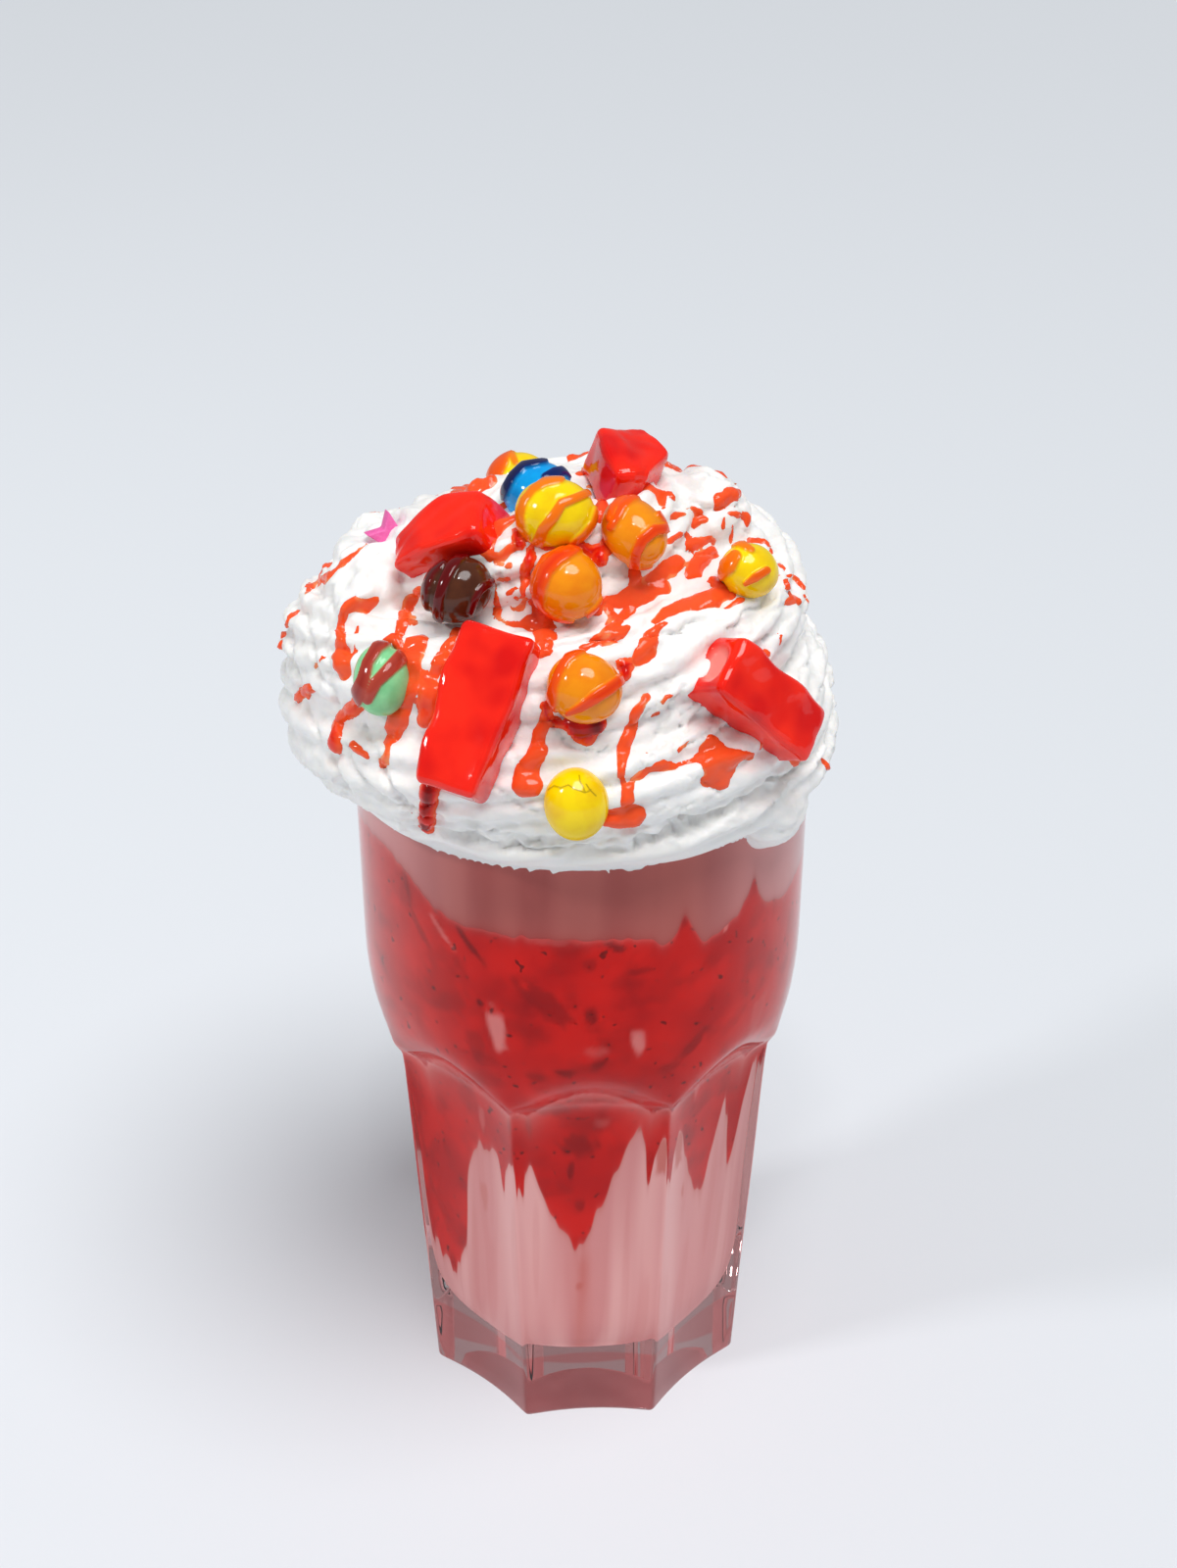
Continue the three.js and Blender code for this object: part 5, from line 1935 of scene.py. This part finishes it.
    def candy(self, look: CandyLook) -> None:
        """Models one candy in its node's place."""
        fitted = Fitted(look.node, self.mound.centre)
        deselect()
        bpy.ops.mesh.primitive_uv_sphere_add(segments=self.across, ring_count=self.up, radius=1)
        candy = added(f"{look.node}_shell")
        ball = points_of(candy)
        seed = len(look.node) * 7 + ord(look.node[-1])
        lumps = 1 + 0.012 * Ripple(1.4, seed)(ball)
        body = ball[:, [2, 0, 1]] * fitted.sizes / 2 * lumps[:, None]
        placed = fitted.place(body)
        spots, toward = self.studio.front_pixels(placed, fitted.middle)
        syrup, depth = np.zeros(len(ball)), np.zeros(len(ball))
        for streak in look.streaks:
            inside = inside_line(spots, streak.line, streak.widths)
            share = smoothstep(inside, -self.fringe, self.fringe)
            syrup = np.maximum(syrup, share)
            depth = np.maximum(depth, share * np.clip(streak.depth * (0.5 + inside / 6), 0, 1))
        rise = np.sqrt(syrup) * self.rib * (0.6 + 0.4 * smoothstep(depth, 0, 0.5))
        move_points(candy, placed + unit(placed - fitted.middle) * rise[:, None])
        paint(candy, "syrup", syrup)
        paint(candy, "depth", depth)
        if look.cracked:
            cracks = [inside_line(spots, line, [1.0] * len(line)) for line in self.cracks]
            crack = smoothstep(np.max(cracks, axis=0), -self.fringe, 0.3)
            paint(candy, "crack", 0.7 * crack * (toward > 0))
        shade_smooth(candy)
        shell = CandyShell(look.sugar, look.cracked)
        finish_piece(candy, shell, f"candy_{look.sugar.name.lower()}", look.node)

    def build(self) -> None:
        """Models all the candies."""
        for look in self.looks():
            self.candy(look)


@dataclass(frozen=True)
class JellyLook:
    """One cut length of jelly: how its block is bent."""

    node: str
    groove: float = 0.0  # how deep its outer face is hollowed, as a share of its depth
    sag: float = 0.0  # how far its ends droop, as a share of its depth
    narrow: float = 0.0  # how far its left end is drawn in
    peak: float = 0.0  # how far its right end is drawn down to a point
    hollow_end_highlight: bool = False


@dataclass
class Jellies:
    """The red jelly pieces."""

    studio: Studio
    mound: Mound
    rounding: float = 1.5 * MM
    cuts: int = 14

    def looks(self) -> list[JellyLook]:
        """The four pieces."""
        return [
            JellyLook("jelly_front", groove=0.05, narrow=0.16),
            JellyLook("jelly_right", groove=0.02, hollow_end_highlight=True),
            JellyLook("jelly_left", sag=0.16, narrow=0.42),
            JellyLook("jelly_top", sag=0.1, narrow=0.25, peak=0.5),
        ]

    def piece(self, look: JellyLook) -> None:
        """Models one piece from a block in its node's place, with its first axis to the photo's right."""
        fitted = Fitted(look.node, self.mound.centre)
        ends = self.studio.pixels(np.stack([fitted.middle, fitted.middle + fitted.axes[0] * MM]))
        if ends[1, 0] < ends[0, 0]:
            fitted.axes[:2] *= -1
        length, width, depth = fitted.sizes
        deselect()
        bpy.ops.mesh.primitive_cube_add(size=1)
        jelly = added(f"{look.node}_piece")
        bpy.ops.object.mode_set(mode="EDIT")
        bpy.ops.transform.resize(value=(length, width, depth))
        bpy.ops.mesh.bevel(offset=self.rounding, segments=4, affect="EDGES")
        bpy.ops.mesh.select_all(action="SELECT")
        bpy.ops.mesh.subdivide(number_cuts=self.cuts, smoothness=0.0)
        bpy.ops.object.mode_set(mode="OBJECT")
        points = points_of(jelly)
        along, across, out = (points / (fitted.sizes / 2)).T
        upper = np.clip(out, 0, 1)
        lift = -look.groove * depth * upper * np.exp(-(across / 0.45) ** 2)
        lift -= look.sag * depth * along ** 2
        rough = Ripple(10 * MM, len(look.node))(points) * 0.22 * MM
        dents = Ripple(4 * MM, len(look.node) + 9)(points) * 0.1 * MM
        points = points + np.stack([0.6 * rough, rough, lift + rough + dents], -1)
        points[:, 1] *= 1 - look.narrow * smoothstep(-along, -0.3, 1.0)
        tip = look.peak * smoothstep(along, 0.1, 1.0)
        points[:, 1] = (points[:, 1] + width / 2) * (1 - tip) - width / 2
        hollow = np.zeros(len(points))
        # the end is pushed in to a hollow, and a pale highlight is painted on it
        if look.hollow_end_highlight:
            oval = np.hypot(across / 0.72, (out - 0.05) / 0.62)
            hollow = (1 - smoothstep(oval, 0.7, 1.0)) * (along < -0.985)
            points[:, 0] += hollow * MM
        move_points(jelly, fitted.place(points))
        paint(jelly, "hollow", hollow)
        shade_smooth(jelly, 50)
        finish_piece(jelly, Jelly(), "red_jelly", look.node)

    def build(self) -> None:
        """Models all the pieces."""
        for look in self.looks():
            self.piece(look)


@dataclass
class SugarStar:
    """The small pink star at the left of the top."""

    mound: Mound
    arms: int = 5
    inner_share: float = 0.46

    def build(self) -> None:
        """Draws the star flat, thickens it and rounds its edges."""
        fitted = Fitted("star_pink", self.mound.centre)
        reach, thick = fitted.sizes[0] / 2, fitted.sizes[2]
        node = points_of(frame["nodes"]["star_pink"])
        local = (node - fitted.middle) @ fitted.axes.T
        tip = local[np.argmax(np.hypot(local[:, 0], local[:, 1]))]
        turn = math.atan2(tip[1], tip[0])
        deselect()
        bpy.ops.mesh.primitive_circle_add(vertices=2 * self.arms, radius=reach, fill_type="NGON")
        star = added("star_pink_sugar")
        points = points_of(star)
        turns = np.arctan2(points[:, 1], points[:, 0]) - math.pi / 2
        order = np.round(turns / (math.pi / self.arms)).astype(int)
        points *= np.where(order % 2 == 0, 1, self.inner_share)[:, None]
        spin = turn - math.pi / 2
        x, y = points[:, 0], points[:, 1]
        flat = np.stack([x * math.cos(spin) - y * math.sin(spin),
                         x * math.sin(spin) + y * math.cos(spin), 0 * x], -1)
        move_points(star, flat)
        apply_modifier(star, "SOLIDIFY", thickness=thick, offset=0.0)
        apply_modifier(star, "BEVEL", width=0.35 * MM, segments=3)
        move_points(star, fitted.place(points_of(star)))
        shade_smooth(star, 40)
        finish_piece(star, PinkSugar(), "pink_sugar", "star_pink")


# ---------------------------------------------------------------- putting it together


def main() -> None:
    """Builds the studio and the milkshake, from the glass to the toppings."""
    logging.basicConfig(level=logging.INFO, format="%(name)s: %(message)s")
    studio = Studio()
    studio.build()
    tumbler = Tumbler()
    tumbler.build()
    Drink(studio, tumbler).build()
    mound = Mound()
    cream = WhippedCream(studio, mound, tumbler).build()
    SyrupDrizzle(studio).build(cream, mound)
    Candies(studio, mound).build()
    Jellies(studio, mound).build()
    SugarStar(mound).build()


if __name__ == "__main__":
    main()
